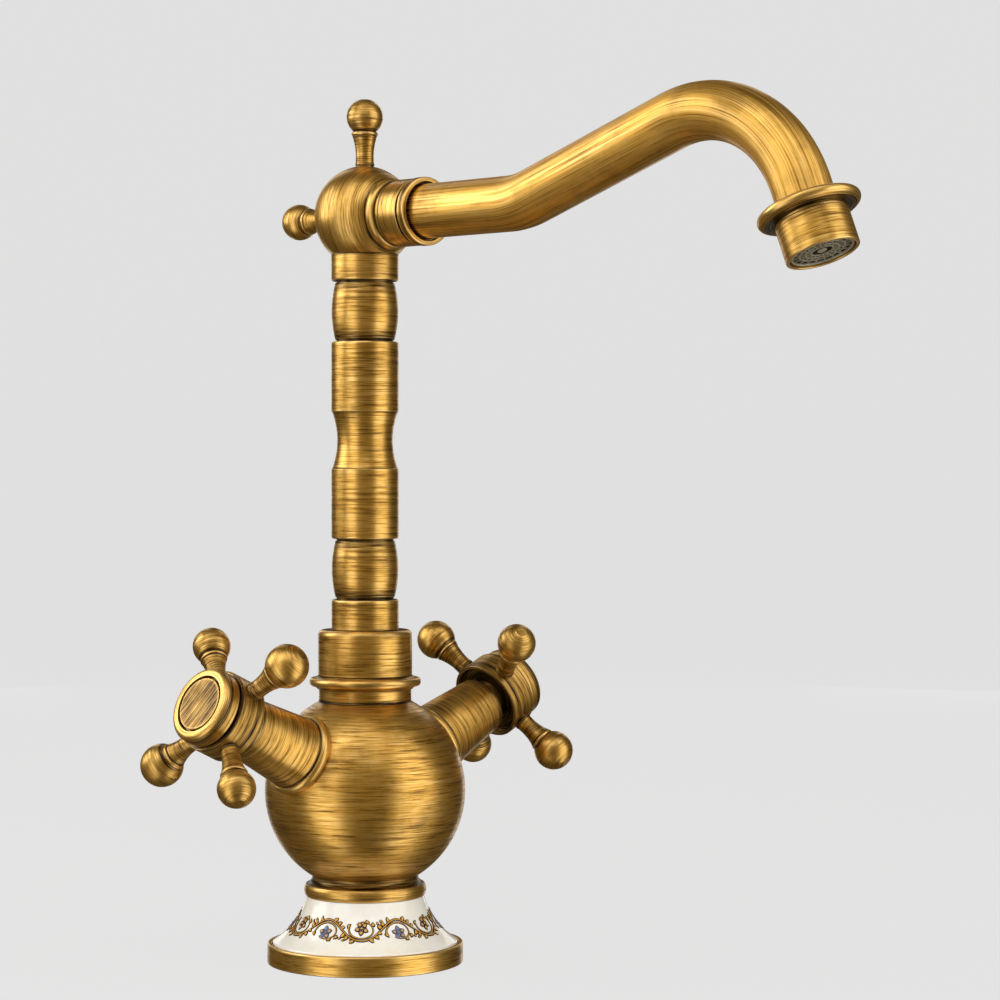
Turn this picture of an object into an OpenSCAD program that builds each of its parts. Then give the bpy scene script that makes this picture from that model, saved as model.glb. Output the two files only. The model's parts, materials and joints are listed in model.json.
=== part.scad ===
// Two-handle swivel mixer tap for one deck hole, turned brass on a glazed ceramic foot.
// Origin: centre of the underside, on the deck. +Z up, the spout points along -Y at rest,
// the hot handle is on -X and the cold handle on +X. All sizes in millimetres.

/* [Foot] */
// Radius of the brass ring on the deck
base_r = 35; // [31:0.5:44]
// Height of the brass ring
base_h = 7.2; // [5:0.1:9]
// Top of the glazed foot above the deck
foot_h = 23.8; // [19:0.1:30]
// Radius of the glazed foot at its top
foot_top_r = 21; // [19.5:0.5:24]
// Height of the moulded collar between the glazed foot and the ball
collar_h = 7.2; // [6:0.2:10]
// Radius of the inlet block that carries the hose threads
shank_r = 15.5; // [15:0.5:17]

/* [Body] */
// Radius of the ball that joins the two valves
ball_r = 35.8; // [33:0.2:43]
// Wall of the hollow ball
ball_wall = 5; // [3.5:0.5:6]
// Radius of the neck above the ball
neck_r = 16.5; // [15.8:0.1:18]
// Height of the swivel nut
nut_h = 16.3; // [15.5:0.1:20]

/* [Column] */
// Radius of the turned column
column_r = 12; // [11.6:0.1:14]
// Height of the column from the swivel nut to the head ball's centre
column_h = 147.4; // [122:0.2:180]
// Height of the plain ring at the foot of the column
foot_ring_h = 10.8; // [8:0.2:12]
// Height of each barrel moulding with its grooves
barrel_h = 21.6; // [18:0.2:26]
// How far the barrel mouldings swell
barrel_swell = 1.25; // [0.6:0.05:1.4]
// Height of the waist in the middle of the column
waist_h = 20; // [14:0.5:24]
// Depth of the waist
waist_depth = 2.1; // [1:0.1:2.2]
// Outer radius of the water pipe inside the column
pipe_r = 8; // [7.5:0.1:8.2]
// Bore radius of the water pipe
pipe_bore_r = 5; // [4:0.1:5.2]

/* [Head] */
// Radius of the head ball
head_r = 18; // [17:0.2:22]
// Distance from the head ball's centre to each finial ball's centre
finial_reach = 35.4; // [34:0.2:42]

/* [Spout] */
// Outer radius of the spout tube
tube_r = 9.5; // [8.6:0.1:9.9]
// Wall of the spout tube
tube_wall = 1.2; // [0.8:0.1:2]
// Level run of the spout, from the column's axis to the first bend
run_y = 72.7; // [60:0.1:88]
// Radius of the first bend, along the tube's axis
rise_r = 40.4; // [30:0.1:60]
// Slope of the rising part
rise_deg = 17.8; // [12:0.1:24]
// Length of the rising part
rise_len = 65.3; // [50:0.1:80]
// Radius of the arch, along the tube's axis
arch_r = 42.8; // [34:0.1:52]
// Angle below level at which the outlet points
drop_deg = 67.8; // [60:0.1:80]

/* [Outlet] */
// Radius of the flange above the outlet
flange_r = 16.6; // [14.5:0.1:20]
// Outer radius of the aerator shell
shell_r = 11.8; // [11.4:0.1:12.6]
// Length of the aerator shell below the flange
shell_len = 13; // [11:0.5:16]

/* [Handles] */
// Angle of the valve arms above level
arm_tilt = 25; // [18:0.5:30]
// Distance from the ball's centre to the plane of the cross
cross_s = 71.8; // [70:0.2:84]
// Distance from the handle's axis to each knob's centre
knob_reach = 31.6; // [29:0.2:38]
// Radius of every knob and finial ball
knob_r = 6.5; // [5.8:0.1:7.4]
// Radius of the handle hub
hub_r = 14.6; // [14:0.1:17]
// Length of the handle hub
hub_h = 10.4; // [10:0.1:12]
// Rest angle of the hot cross about its axis
hot_phase = 38.3; // [0:0.1:90]
// Rest angle of the cold cross about its axis
cold_phase = 44.1; // [0:0.1:90]

/* [Valves] */
// Radius of the valve sleeve at the handle
sleeve_r = 10.5; // [10.3:0.1:11.5]
// Radius of the valve sleeve at the ball
sleeve_root_r = 12.9; // [12.2:0.1:13.4]
// Outer end of the valve sleeve from the ball's centre
sleeve_end = 64.2; // [60:0.2:65]
// Radius of the valve spindle
spindle_r = 4; // [3.6:0.1:4.4]

/* [Clearances] */
// Radial running clearance where a turning shaft is guided
run_gap = 0.06; // [0.02:0.01:0.09]
// Free space beside a turning piece that is not guided
free_gap = 0.35; // [0.3:0.05:0.5]
// Face gap between a turning piece and a fixed one
face_gap = 0.05; // [0.03:0.01:0.1]

/* [Hidden] */
$fn = 96;
plate_h = base_h/2;                    // floor of the base ring
lip = 1.85;                            // rim of the base ring round the glazed foot
gasket_in = base_r*0.63;
gasket_out = base_r*0.89;
gasket_h = 1.6;
foot_r = base_r - lip - 0.15;          // glazed foot inside the rim
seam = foot_h;                         // collar starts here
cove_h = 0.62*collar_h;                // bead of the collar, below its cove
ball_z = foot_h + collar_h + sqrt(ball_r*ball_r - 18.8*18.8);
neck_z = ball_z + sqrt(ball_r*ball_r - neck_r*neck_r);
bead_z = neck_z + 4.5;                 // neck ring
bead_h = 4.7;
nut_z = bead_z + bead_h + 0.1;
nut_r = neck_r + 0.3;
nut_top = nut_z + nut_h;
neck_spigot_r = nut_r - 2.8;
spigot_top = nut_top - 7.9;
head_z = nut_top + column_h;
hip = spigot_top + 0.2;                // flange of the column inside the nut
hip_h = 2.9;
hip_r = neck_spigot_r - 1.4;
swivel_r = column_r - 1.4;             // neck of the column in the nut's lip
seg0 = nut_top + face_gap;             // column stack
seg1 = seg0 + foot_ring_h;
seg2 = seg1 + barrel_h;
head_low = head_z - sqrt(head_r*head_r - column_r*column_r);
seg4 = head_low - 9.6;
seg3 = seg4 - barrel_h;
groove_r = column_r - 1.8;
groove_h = 0.7;
oring_t = 0.75;
oring_c = pipe_r + run_gap - oring_t - 0.04;
ring_z = [spigot_top - 14, spigot_top - 8];
pipe_low = spigot_top - 20;
pipe_top = head_z - 8;
turn_deg = rise_deg + drop_deg;
rise_y = run_y + rise_r*sin(rise_deg);
rise_z = rise_r*(1 - cos(rise_deg));
top_y = rise_y + rise_len*cos(rise_deg);
top_z = rise_z + rise_len*sin(rise_deg);
out_y = top_y + arch_r*(sin(rise_deg) + sin(drop_deg));
out_z = head_z + top_z + arch_r*(cos(drop_deg) - cos(rise_deg));
tail = 9;                              // straight end of the tube inside the outlet
tube_in = tube_r - tube_wall;
tube_start = 21;
lap = 0.3;
seam_step = 0.01;
bezel_h = 7;
hub_s = cross_s - hub_h/2;
face_s = hub_s + hub_h + bezel_h;
seat_s = 18.6;                         // valve seat from the ball's centre
pocket_r = sleeve_r - 1.85;            // bore that holds the cartridge
screw_r = sleeve_r + 0.3;              // thread of the sleeve in the ball
ball_face = ball_r - 3;                // flat on the ball under each sleeve's bead
insert_seat = 14;                      // shelf in the aerator shell that holds the insert
stem_r = 3.25;                         // narrow end of every knob stem
stud_r = 2.2;

brass = "#B08D3C";
dark_brass = "#6E5526";

// ---- outlines -------------------------------------------------------------------

function arc(c, r, a0, a1, n) =
  [for (i = [0:n]) let (a = a0 + (a1 - a0)*i/n) [c[0] + r*cos(a), c[1] + r*sin(a)]];

// points from p to q that bow to the left of the way from p to q by s
function bow(p, q, s, n) = [for (i = [0:n]) let (t = i/n, d = q - p)
  p + d*t + [-d[1], d[0]]/norm(d)*s*4*t*(1 - t)];

// a bead that swells from radius r - d at z0 and z1 to radius r between them
function bead(r, d, z0, z1, n) = [for (i = [0:n]) let (a = -90 + 180*i/n)
  [r - d + d*cos(a), (z0 + z1)/2 + (z1 - z0)/2*sin(a)]];

module turned(p) rotate_extrude() polygon(p);

module tube_of(r, ri, z0, z1)
  translate([0, 0, z0]) difference() {
    cylinder(r = r, h = z1 - z0);
    translate([0, 0, -1]) cylinder(r = ri, h = z1 - z0 + 2);
  }

module oring(r, t, z) translate([0, 0, z]) rotate_extrude() translate([r, 0]) circle(t);

// ---- places ---------------------------------------------------------------------

// side -1 is the hot arm, 1 the cold arm; local Z runs outward from the ball's centre
module on_arm(side) translate([0, 0, ball_z]) rotate([0, side*(90 - arm_tilt), 0]) children();

// local Z runs along the spout's level part, away from the column
module on_spout() translate([0, 0, head_z]) rotate([90, 0, 0]) children();

// local Z runs out of the outlet, starting at the end of the arch
module on_outlet() translate([0, -out_y, out_z]) rotate([90 + drop_deg, 0, 0]) children();

// ---- foot -----------------------------------------------------------------------

module base_ring() color(brass) turned(concat(
  [[shank_r + 0.1, 0], [gasket_in, 0], [gasket_in, gasket_h], [gasket_out, gasket_h],
   [gasket_out, 0]],
  arc([base_r - 0.6, 0.6], 0.6, -90, 0, 3),
  arc([base_r - 1, base_h - 1], 1, 0, 90, 5),
  [[foot_r + 0.15, base_h], [foot_r + 0.15, plate_h], [shank_r + 0.1, plate_h]]));

module base_gasket() color("#2B2B2B") tube_of(gasket_out, gasket_in, 0, gasket_h);

module ceramic_base() color("#F0ECE2") turned(concat(
  [[foot_r - 5, plate_h], [foot_r, plate_h]],
  arc([foot_r - 0.8, base_h - 0.1], 0.8, 0, 60, 4),
  bow([foot_r - 0.9, base_h + 0.9], [foot_top_r, foot_h], 1.9, 14),
  [[shank_r + 0.7, foot_h], [shank_r + 0.7, foot_h - 5]],
  bow([shank_r + 0.9, foot_h - 6], [foot_r - 6, plate_h + 1.5], -1.5, 6)));

module foot_collar() color(brass) difference() {
  turned(concat(
    [[shank_r + 0.1, seam]],
    bead(foot_top_r + 0.8, 1, seam, seam + cove_h, 8),
    bow([foot_top_r - 0.2, seam + cove_h], [18.9, seam + collar_h + 0.4], 0.55, 6),
    [[shank_r + 0.1, seam + collar_h + 0.4]]));
  translate([0, 0, ball_z]) sphere(ball_r);
}

// stud hole in the middle, a hose thread on each side
module inlet_block() color(dark_brass) difference() {
  cylinder(r = shank_r, h = seam + 13);
  translate([0, 0, -1]) cylinder(r = 4, h = 17);
  for (x = [-1, 1]) {
    translate([x*9.3, 0, -1]) cylinder(r = 5, h = 15);
    translate([x*9.3, 0, 10]) cylinder(r = 3, h = 40);
  }
}

// ---- body -----------------------------------------------------------------------

module body_ball() color(brass) difference() {
  union() {
    translate([0, 0, ball_z]) difference() {
      sphere(ball_r);
      difference() {
        sphere(ball_r - ball_wall);
        translate([0, 0, -ball_r]) cylinder(r = 19, h = 2*ball_r);
        for (side = [-1, 1]) rotate([0, side*(90 - arm_tilt), 0])
          cylinder(r = screw_r + 3.5, h = ball_r);
      }
    }
    translate([0, 0, ball_z]) cylinder(r = neck_r, h = bead_z - ball_z);
    translate([0, 0, ball_z]) cylinder(r = neck_spigot_r, h = spigot_top - ball_z);
  }
  translate([0, 0, -1]) cylinder(r = shank_r, h = seam + 14);
  translate([0, 0, pipe_low - 2]) cylinder(r = pipe_r + run_gap, h = 60);
  translate([0, 0, ball_z + 8]) cylinder(r = 4.5, h = pipe_low - ball_z);
  for (side = [-1, 1]) {
    translate([side*9.3, 0, seam + 12]) cylinder(r = 3, h = ball_z - seam - 9);
    on_arm(side) {
      translate([0, 0, 9]) cylinder(r = 3, h = 12);
      rotate([0, 0, side*90 + 90]) translate([6, 0, 2]) cylinder(r = 2.4, h = 18);
      translate([0, 0, seat_s]) cylinder(r = pocket_r, h = 30);
      translate([0, 0, seat_s + 5]) cylinder(r = screw_r, h = 30);
      translate([0, 0, ball_face]) cylinder(r = 20, h = 20);
    }
  }
}

module neck_ring() color(brass) turned(concat(
  [[neck_spigot_r + 0.05, bead_z]],
  bow([neck_r + 0.6, bead_z], [neck_r + 2.6, bead_z + 1.1], 0.3, 4),
  bead(neck_r + 3.4, 0.8, bead_z + 1.1, bead_z + 3.3, 6),
  bow([neck_r + 2.4, bead_z + 3.5], [neck_r + 0.5, bead_z + bead_h], 0.3, 4),
  [[neck_spigot_r + 0.05, bead_z + bead_h]]));

module swivel_nut() color(brass) turned(concat(
  [[neck_spigot_r + 0.05, nut_z], [nut_r - 0.3, nut_z], [nut_r, nut_z + 0.3]],
  arc([nut_r - 1.8, nut_top - 1.8], 1.8, 0, 90, 7),
  [[swivel_r + free_gap, nut_top], [swivel_r + free_gap, nut_top - 2],
   [hip_r + 0.5, nut_top - 2], [hip_r + 0.5, spigot_top + 0.1],
   [neck_spigot_r + 0.05, spigot_top + 0.1]]));

module swivel_bush() color("#E8E4DA")
  tube_of(hip_r + 0.4, swivel_r + free_gap + 0.1, hip + hip_h + 0.1, nut_top - 2);

// ---- valves ---------------------------------------------------------------------

module valve_sleeve(side) color(brass) on_arm(side) turned(concat(
  [[pocket_r, seat_s + 5.2], [screw_r - 0.05, seat_s + 5.2], [screw_r - 0.05, ball_face]],
  bead(14.5, 1.4, ball_face, ball_face + 4, 8),
  [[sleeve_root_r - 0.1, ball_face + 4.3], [sleeve_root_r, ball_face + 4.6],
   [sleeve_r, sleeve_end - 0.3], [sleeve_r - 0.3, sleeve_end], [sleeve_r - 1.1, sleeve_end],
   [sleeve_r - 1.1, sleeve_end - 10], [pocket_r, sleeve_end - 10]]));

module cartridge(side) color("#A98A4A") on_arm(side) difference() {
  union() {
    translate([0, 0, seat_s + 1.6]) cylinder(r = pocket_r - 0.03, h = sleeve_end - seat_s - 11.6);
    translate([0, 0, sleeve_end - 10]) cylinder(r = sleeve_r - 1.5, h = 4, $fn = 6);
    translate([0, 0, sleeve_end - 6]) cylinder(r = spindle_r + 2, h = 3);
  }
  translate([0, 0, seat_s]) cylinder(r = 7.2, h = 11);
  translate([0, 0, seat_s]) cylinder(r = spindle_r + run_gap, h = 60);
}

module fixed_disc(side) color("#F5F3EE") on_arm(side) difference() {
  translate([0, 0, seat_s + 1.6]) cylinder(r = 7.1, h = 2.6);
  for (a = [0, 180]) rotate([0, 0, a]) translate([3.6, 0, seat_s]) cylinder(r = 2.2, h = 6);
}

module seat_seal(side) color("#262626") on_arm(side) tube_of(pocket_r - 0.1, 5.9, seat_s, seat_s + 1.6);

module hot_valve_sleeve() valve_sleeve(-1);
module hot_cartridge() cartridge(-1);
module hot_fixed_disc() fixed_disc(-1);
module hot_seat_seal() seat_seal(-1);
module cold_valve_sleeve() valve_sleeve(1);
module cold_cartridge() cartridge(1);
module cold_fixed_disc() fixed_disc(1);
module cold_seat_seal() seat_seal(1);

// ---- column ---------------------------------------------------------------------

module column_foot() color(brass) turned([
  [pipe_r, hip], [hip_r, hip], [hip_r, hip + hip_h], [swivel_r, hip + hip_h],
  [swivel_r, seg0], [column_r - 0.3, seg0], [column_r, seg0 + 0.3],
  [column_r, seg1 - 0.6], [column_r - 0.6, seg1], [pipe_r, seg1]]);

module lower_oring() color("#1E1E1E") oring(oring_c, oring_t, ring_z[0]);
module upper_oring() color("#1E1E1E") oring(oring_c, oring_t, ring_z[1]);

module column_pipe() color(dark_brass) difference() {
  translate([0, 0, pipe_low]) cylinder(r = pipe_r, h = pipe_top - pipe_low);
  translate([0, 0, pipe_low - 1]) cylinder(r = pipe_bore_r, h = pipe_top - pipe_low + 2);
  for (z = ring_z) tube_of(pipe_r + 1, oring_c - oring_t - 0.02, z - 0.9, z + 0.9);
}

module barrel(z) turned(concat(
  [[pipe_r, z], [groove_r, z], [groove_r, z + groove_h], [column_r - 1.5, z + groove_h]],
  bow([column_r - 1.4, z + groove_h + 0.2], [column_r - 1.4, z + barrel_h - groove_h - 0.2],
    -barrel_swell, 12),
  [[column_r - 1.5, z + barrel_h - groove_h], [groove_r, z + barrel_h - groove_h],
   [groove_r, z + barrel_h], [pipe_r, z + barrel_h]]));

module lower_barrel() color(brass) barrel(seg1);
module upper_barrel() color(brass) barrel(seg3);

// two plain lengths with the waist centred between them
module column_shaft() color(brass) turned(concat(
  [[pipe_r, seg2], [column_r - 0.6, seg2], [column_r, seg2 + 0.6],
   [column_r, (seg2 + seg3 - waist_h)/2 - 0.2]],
  bow([column_r - 0.3, (seg2 + seg3 - waist_h)/2], [column_r - 0.3, (seg2 + seg3 + waist_h)/2],
    waist_depth - 0.3, 12),
  [[column_r, (seg2 + seg3 + waist_h)/2 + 0.2], [column_r, seg3 - 0.6],
   [column_r - 0.6, seg3], [pipe_r, seg3]]));

module column_collar() color(brass) difference() {
  turned([[pipe_r, seg4], [column_r - 0.6, seg4], [column_r, seg4 + 0.6],
    [column_r, head_low + 1], [pipe_r, head_low + 1]]);
  translate([0, 0, head_z]) sphere(head_r);
}

// ---- head -----------------------------------------------------------------------

module head_ball() color(brass) difference() {
  translate([0, 0, head_z]) sphere(head_r);
  translate([0, 0, pipe_low]) cylinder(r = pipe_r, h = pipe_top - pipe_low);
  translate([0, 0, head_z - 9]) cylinder(r = pipe_bore_r, h = 9);
  translate([0, 0, head_z]) sphere(pipe_bore_r + 2);
  on_spout() {
    cylinder(r = 7, h = 30);
    translate([0, 0, 11]) cylinder(r = 9, h = 30);
  }
  translate([0, 0, head_z + head_r - 6.2]) cylinder(r = stud_r + 0.02, h = 30);
  rotate([-90, 0, 0]) translate([0, -head_z, head_r - 6.2]) cylinder(r = stud_r + 0.02, h = 30);
}

// stem from radius root out to a ball at reach, with a ring under the ball
module knob_arm(root, reach) {
  collar = reach - 5.2;
  difference() {
    union() {
      turned(concat(
        [[0, root - 5.5], [stud_r, root - 5.5], [stud_r, root - 0.4], [stem_r, root - 0.4]],
        bow([stem_r, root + 0.6], [4.3, collar - 1.6], 0.45, 8),
        bead(4.75, 0.45, collar - 1.4, collar - 0.2, 6),
        [[4.1, collar - 0.2], [4.1, collar + 1], [0, collar + 1]]));
      translate([0, 0, reach]) sphere(knob_r);
    }
    translate([0, 0, reach + knob_r - 0.3]) cylinder(r = 4, h = 2);
  }
}

module top_finial() color(brass) translate([0, 0, head_z]) difference() {
  knob_arm(head_r, finial_reach);
  difference() {
    sphere(head_r);
    cylinder(r = stud_r + 0.01, h = head_r);
  }
}

module back_finial() color(brass) translate([0, 0, head_z]) rotate([-90, 0, 0]) difference() {
  knob_arm(head_r, finial_reach);
  difference() {
    sphere(head_r);
    cylinder(r = stud_r + 0.01, h = head_r);
  }
}

module union_bead() color(brass) difference() {
  on_spout() turned(concat(
    [[8.9, 11.1]], [[11.4, 11.1]], bead(12.6, 1.2, 13.2, 17.2, 8), [[8.9, 17.2]]));
  difference() {
    translate([0, 0, head_z]) sphere(head_r);
    on_spout() cylinder(r = 9, h = 30);
  }
  on_spout() translate([0, 0, 10]) cylinder(r = 7, h = 20);
}

module union_nut() color(brass) on_spout() difference() {
  turned([[tube_r + 0.05, 17.3], [tube_r + 1.7, 17.3], [tube_r + 1.7, 19.2],
    [tube_r + 2.1, 19.4], [tube_r + 2.3, 20], [tube_r + 2.3, 28.2], [tube_r + 2, 28.5],
    [tube_r + 0.05, 28.5]]);
  tube_of(tube_r + 1.1, tube_r, 23, 25.4);
}

module tube_ferrule() color(brass) on_spout() turned([
  [tube_r + 0.05, 28.5], [11, 28.5], [11, 29.3], [11.7, 29.4], [12, 29.8], [12, 32.2],
  [11.6, 32.7], [10.5, 32.7], [10.3, 31.2], [tube_r + 0.05, 31.2]]);

module spout_oring() color("#1E1E1E") on_spout() oring(tube_r + 0.55, 0.5, 24.2);

// ---- spout ----------------------------------------------------------------------

// a bend that starts at the origin heading +Y and turns left (dir 1) or right (dir -1)
module bend(r, deg, dir, w) translate([-dir*r, 0, 0]) rotate([0, 0, dir > 0 ? 0 : 180 - deg])
  rotate_extrude(angle = deg) translate([r, 0]) circle(w);

module straight(len, w) rotate([-90, 0, 0]) cylinder(r = w, h = len);

// the tube's centre line swept by a disc of radius w, longer by more at both ends;
// the straights lap into the bends, which are thicker by seam_step, so the union is clean
module spout_sweep(w, more)
  translate([0, 0, head_z]) rotate([0, 0, 180]) rotate([0, 90, 0]) {
    translate([0, tube_start - more, 0]) straight(run_y - tube_start + more + lap, w);
    translate([0, run_y, 0]) bend(rise_r, rise_deg, 1, w + seam_step);
    translate([-rise_z, rise_y, 0]) rotate([0, 0, rise_deg]) {
      translate([0, -lap, 0]) straight(rise_len + 2*lap, w);
      translate([0, rise_len, 0]) bend(arch_r, turn_deg, -1, w + seam_step);
    }
    translate([head_z - out_z, out_y, 0]) rotate([0, 0, -drop_deg]) translate([0, -lap, 0])
      straight(tail + more + lap, w);
  }

module spout_tube() color(brass) difference() {
  spout_sweep(tube_r, 0);
  spout_sweep(tube_in, 1);
}

module outlet_flange() color(brass) on_outlet() turned(concat(
  [[tube_r + 0.03, 5.4], [tube_r + 0.8, 5.4]],
  bow([tube_r + 1, 5.7], [flange_r - 1.8, 6.3], 0.2, 5),
  bead(flange_r, 1.3, 6.5, 9.6, 8),
  [[flange_r - 1.8, 10], [shell_r - 0.4, 10], [shell_r - 0.4, 11], [shell_r - 2.2, 11],
   [shell_r - 2.2, tail + 0.1], [tube_r + 0.03, tail + 0.1]]));

module aerator_shell() color(brass) on_outlet() turned([
  [shell_r - 2.1, 11.1], [shell_r - 0.5, 11.1], [shell_r, 11.6],
  [shell_r, 9.5 + shell_len], [shell_r - 0.5, 10 + shell_len],
  [shell_r - 1.2, 10 + shell_len], [shell_r - 1.2, insert_seat],
  [shell_r - 2.1, insert_seat]]);

module aerator_gasket() color("#262626") on_outlet() tube_of(shell_r - 2.25, 6.6, 9.2, 11);

// cup with rings of holes, set a little back from the shell's edge
module aerator_insert() color("#8E8A80") on_outlet() difference() {
  turned([[shell_r - 1.7, insert_seat], [shell_r - 1.7, 8.6 + shell_len],
    [shell_r - 2.6, 8.6 + shell_len], [shell_r - 2.6, 7.6 + shell_len],
    [0, 7.6 + shell_len], [0, 6.4 + shell_len], [shell_r - 2.9, 6.4 + shell_len],
    [shell_r - 2.9, insert_seat]]);
  for (k = [1:3], i = [0:6*k - 1]) rotate([0, 0, 60*i/k])
    translate([2.5*k, 0, 0]) cylinder(r = 0.75, h = 40);
}

// ---- handles --------------------------------------------------------------------

module hub(side, phase) color(brass) on_arm(side) difference() {
  turned([[spindle_r - 0.5, hub_s + 1], [6, hub_s + 1], [6, hub_s + 2.4],
    [hub_r - 1.2, hub_s + 2.4], [hub_r - 1.2, hub_s], [hub_r - 0.4, hub_s],
    [hub_r, hub_s + 0.4], [hub_r, hub_s + hub_h - 0.3], [hub_r - 0.3, hub_s + hub_h],
    [spindle_r - 0.5, hub_s + hub_h]]);
  translate([0, 0, cross_s]) for (k = [0:3]) rotate([0, 0, phase + 90*k]) rotate([0, 90, 0]) {
    translate([0, 0, hub_r - 5.9]) cylinder(r = stud_r, h = 10);
    translate([0, 0, hub_r - 0.4]) cylinder(r = stem_r + 0.02, h = 2);
  }
}

module bezel(side) color(brass) on_arm(side) turned(concat(
  [[6, face_s - bezel_h], [hub_r - 1.9, face_s - bezel_h], [hub_r - 1.9, face_s - 6.5],
   [hub_r - 1.5, face_s - 6.4], [hub_r - 1.1, face_s - 6]],
  arc([hub_r - 3.2, face_s - 2.3], 2.1, 0, 90, 7),
  [[10.2, face_s - 0.2], [10.2, face_s - 2], [9.4, face_s - 2], [9.4, face_s - 3.4],
   [6, face_s - 3.4]]));

module button(side) color(brass) on_arm(side) turned([
  [0, face_s - 2.6], [9.35, face_s - 2.6], [9.35, face_s - 0.6], [9.15, face_s - 0.3],
  [0, face_s - 0.3]]);

module screw(side) color("#B9B4A6") on_arm(side) difference() {
  union() {
    translate([0, 0, hub_s + hub_h]) cylinder(r = 4.4, h = 2.4);
    translate([0, 0, cross_s - 2]) cylinder(r = 2.4, h = hub_h/2 + 3);
  }
  translate([0, 0, hub_s + hub_h + 1]) cylinder(r = 1.6, h = 5, $fn = 6);
}

module arm(side, phase, k) color(brass) on_arm(side) translate([0, 0, cross_s])
  rotate([0, 0, phase + 90*k]) rotate([0, 90, 0]) knob_arm(hub_r, knob_reach);

module spindle(side) color(dark_brass) on_arm(side) difference() {
  union() {
    translate([0, 0, seat_s + 6.8]) cylinder(r = 6.8, h = 3);
    translate([0, 0, seat_s + 8]) cylinder(r = spindle_r, h = hub_s - seat_s - 7);
    translate([0, 0, seat_s + 8]) cylinder(r = spindle_r - 0.5, h = hub_s + hub_h - seat_s - 8);
  }
  translate([0, 0, cross_s - 2.1]) cylinder(r = 2.4, h = 30);
  tube_of(spindle_r + 1, spindle_r - 1.15, 38.6, 40.4);
}

module moving_disc(side) color("#E9E6DE") on_arm(side) difference() {
  translate([0, 0, seat_s + 4.2 + face_gap]) cylinder(r = 6.85, h = 2.5);
  translate([2.6, -2.2, seat_s]) cube([6, 4.4, 10]);
}

module spindle_oring(side) color("#1E1E1E") on_arm(side)
  oring(spindle_r - 0.55, 0.58, 39.5);

module hot_hub() hub(-1, hot_phase);
module hot_bezel() bezel(-1);
module hot_button() button(-1);
module hot_screw() screw(-1);
module hot_arm_1() arm(-1, hot_phase, 0);
module hot_arm_2() arm(-1, hot_phase, 1);
module hot_arm_3() arm(-1, hot_phase, 2);
module hot_arm_4() arm(-1, hot_phase, 3);
module hot_spindle() spindle(-1);
module hot_moving_disc() moving_disc(-1);
module hot_spindle_oring() spindle_oring(-1);
module cold_hub() hub(1, cold_phase);
module cold_bezel() bezel(1);
module cold_button() button(1);
module cold_screw() screw(1);
module cold_arm_1() arm(1, cold_phase, 0);
module cold_arm_2() arm(1, cold_phase, 1);
module cold_arm_3() arm(1, cold_phase, 2);
module cold_arm_4() arm(1, cold_phase, 3);
module cold_spindle() spindle(1);
module cold_moving_disc() moving_disc(1);
module cold_spindle_oring() spindle_oring(1);

// ---- drawing --------------------------------------------------------------------

base_ring();
base_gasket();
ceramic_base();
foot_collar();
inlet_block();
body_ball();
neck_ring();
swivel_nut();
swivel_bush();
hot_valve_sleeve();
hot_cartridge();
hot_fixed_disc();
hot_seat_seal();
cold_valve_sleeve();
cold_cartridge();
cold_fixed_disc();
cold_seat_seal();
column_foot();
lower_oring();
upper_oring();
column_pipe();
lower_barrel();
column_shaft();
upper_barrel();
column_collar();
head_ball();
top_finial();
back_finial();
union_bead();
union_nut();
tube_ferrule();
spout_oring();
spout_tube();
outlet_flange();
aerator_shell();
aerator_gasket();
aerator_insert();
hot_hub();
hot_bezel();
hot_button();
hot_screw();
hot_arm_1();
hot_arm_2();
hot_arm_3();
hot_arm_4();
hot_spindle();
hot_moving_disc();
hot_spindle_oring();
cold_hub();
cold_bezel();
cold_button();
cold_screw();
cold_arm_1();
cold_arm_2();
cold_arm_3();
cold_arm_4();
cold_spindle();
cold_moving_disc();
cold_spindle_oring();
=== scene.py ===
"""Swivel mixer tap: finished surfaces, glaze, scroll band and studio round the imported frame."""

import json
import math

import bpy
import numpy as np
from mathutils import Matrix, Vector


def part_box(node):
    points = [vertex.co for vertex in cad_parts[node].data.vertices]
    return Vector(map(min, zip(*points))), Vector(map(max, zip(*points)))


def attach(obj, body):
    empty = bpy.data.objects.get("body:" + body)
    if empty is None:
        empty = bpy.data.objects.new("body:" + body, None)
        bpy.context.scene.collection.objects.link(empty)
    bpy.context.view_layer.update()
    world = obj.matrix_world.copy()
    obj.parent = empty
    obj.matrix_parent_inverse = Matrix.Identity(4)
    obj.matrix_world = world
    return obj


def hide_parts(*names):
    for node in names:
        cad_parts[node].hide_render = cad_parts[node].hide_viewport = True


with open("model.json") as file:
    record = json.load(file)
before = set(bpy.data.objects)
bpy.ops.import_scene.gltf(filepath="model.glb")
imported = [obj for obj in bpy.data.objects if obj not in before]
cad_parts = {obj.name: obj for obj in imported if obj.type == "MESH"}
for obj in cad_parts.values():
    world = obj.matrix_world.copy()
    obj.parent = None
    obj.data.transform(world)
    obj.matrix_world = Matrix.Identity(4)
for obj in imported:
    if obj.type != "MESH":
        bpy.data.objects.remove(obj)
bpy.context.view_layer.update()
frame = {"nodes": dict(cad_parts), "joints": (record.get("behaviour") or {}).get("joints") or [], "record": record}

bl_info = {
    "name": "Swivel mixer tap",
    "version": (1, 0, 0),
    "blender": (4, 5, 0),
    "location": "3D View > Sidebar > Tap",
    "description": "Turned antique brass, glazed foot and studio for a two-handle basin mixer",
    "category": "Object",
}

MM = 0.001
UP = Vector((0, 0, 1))

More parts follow.
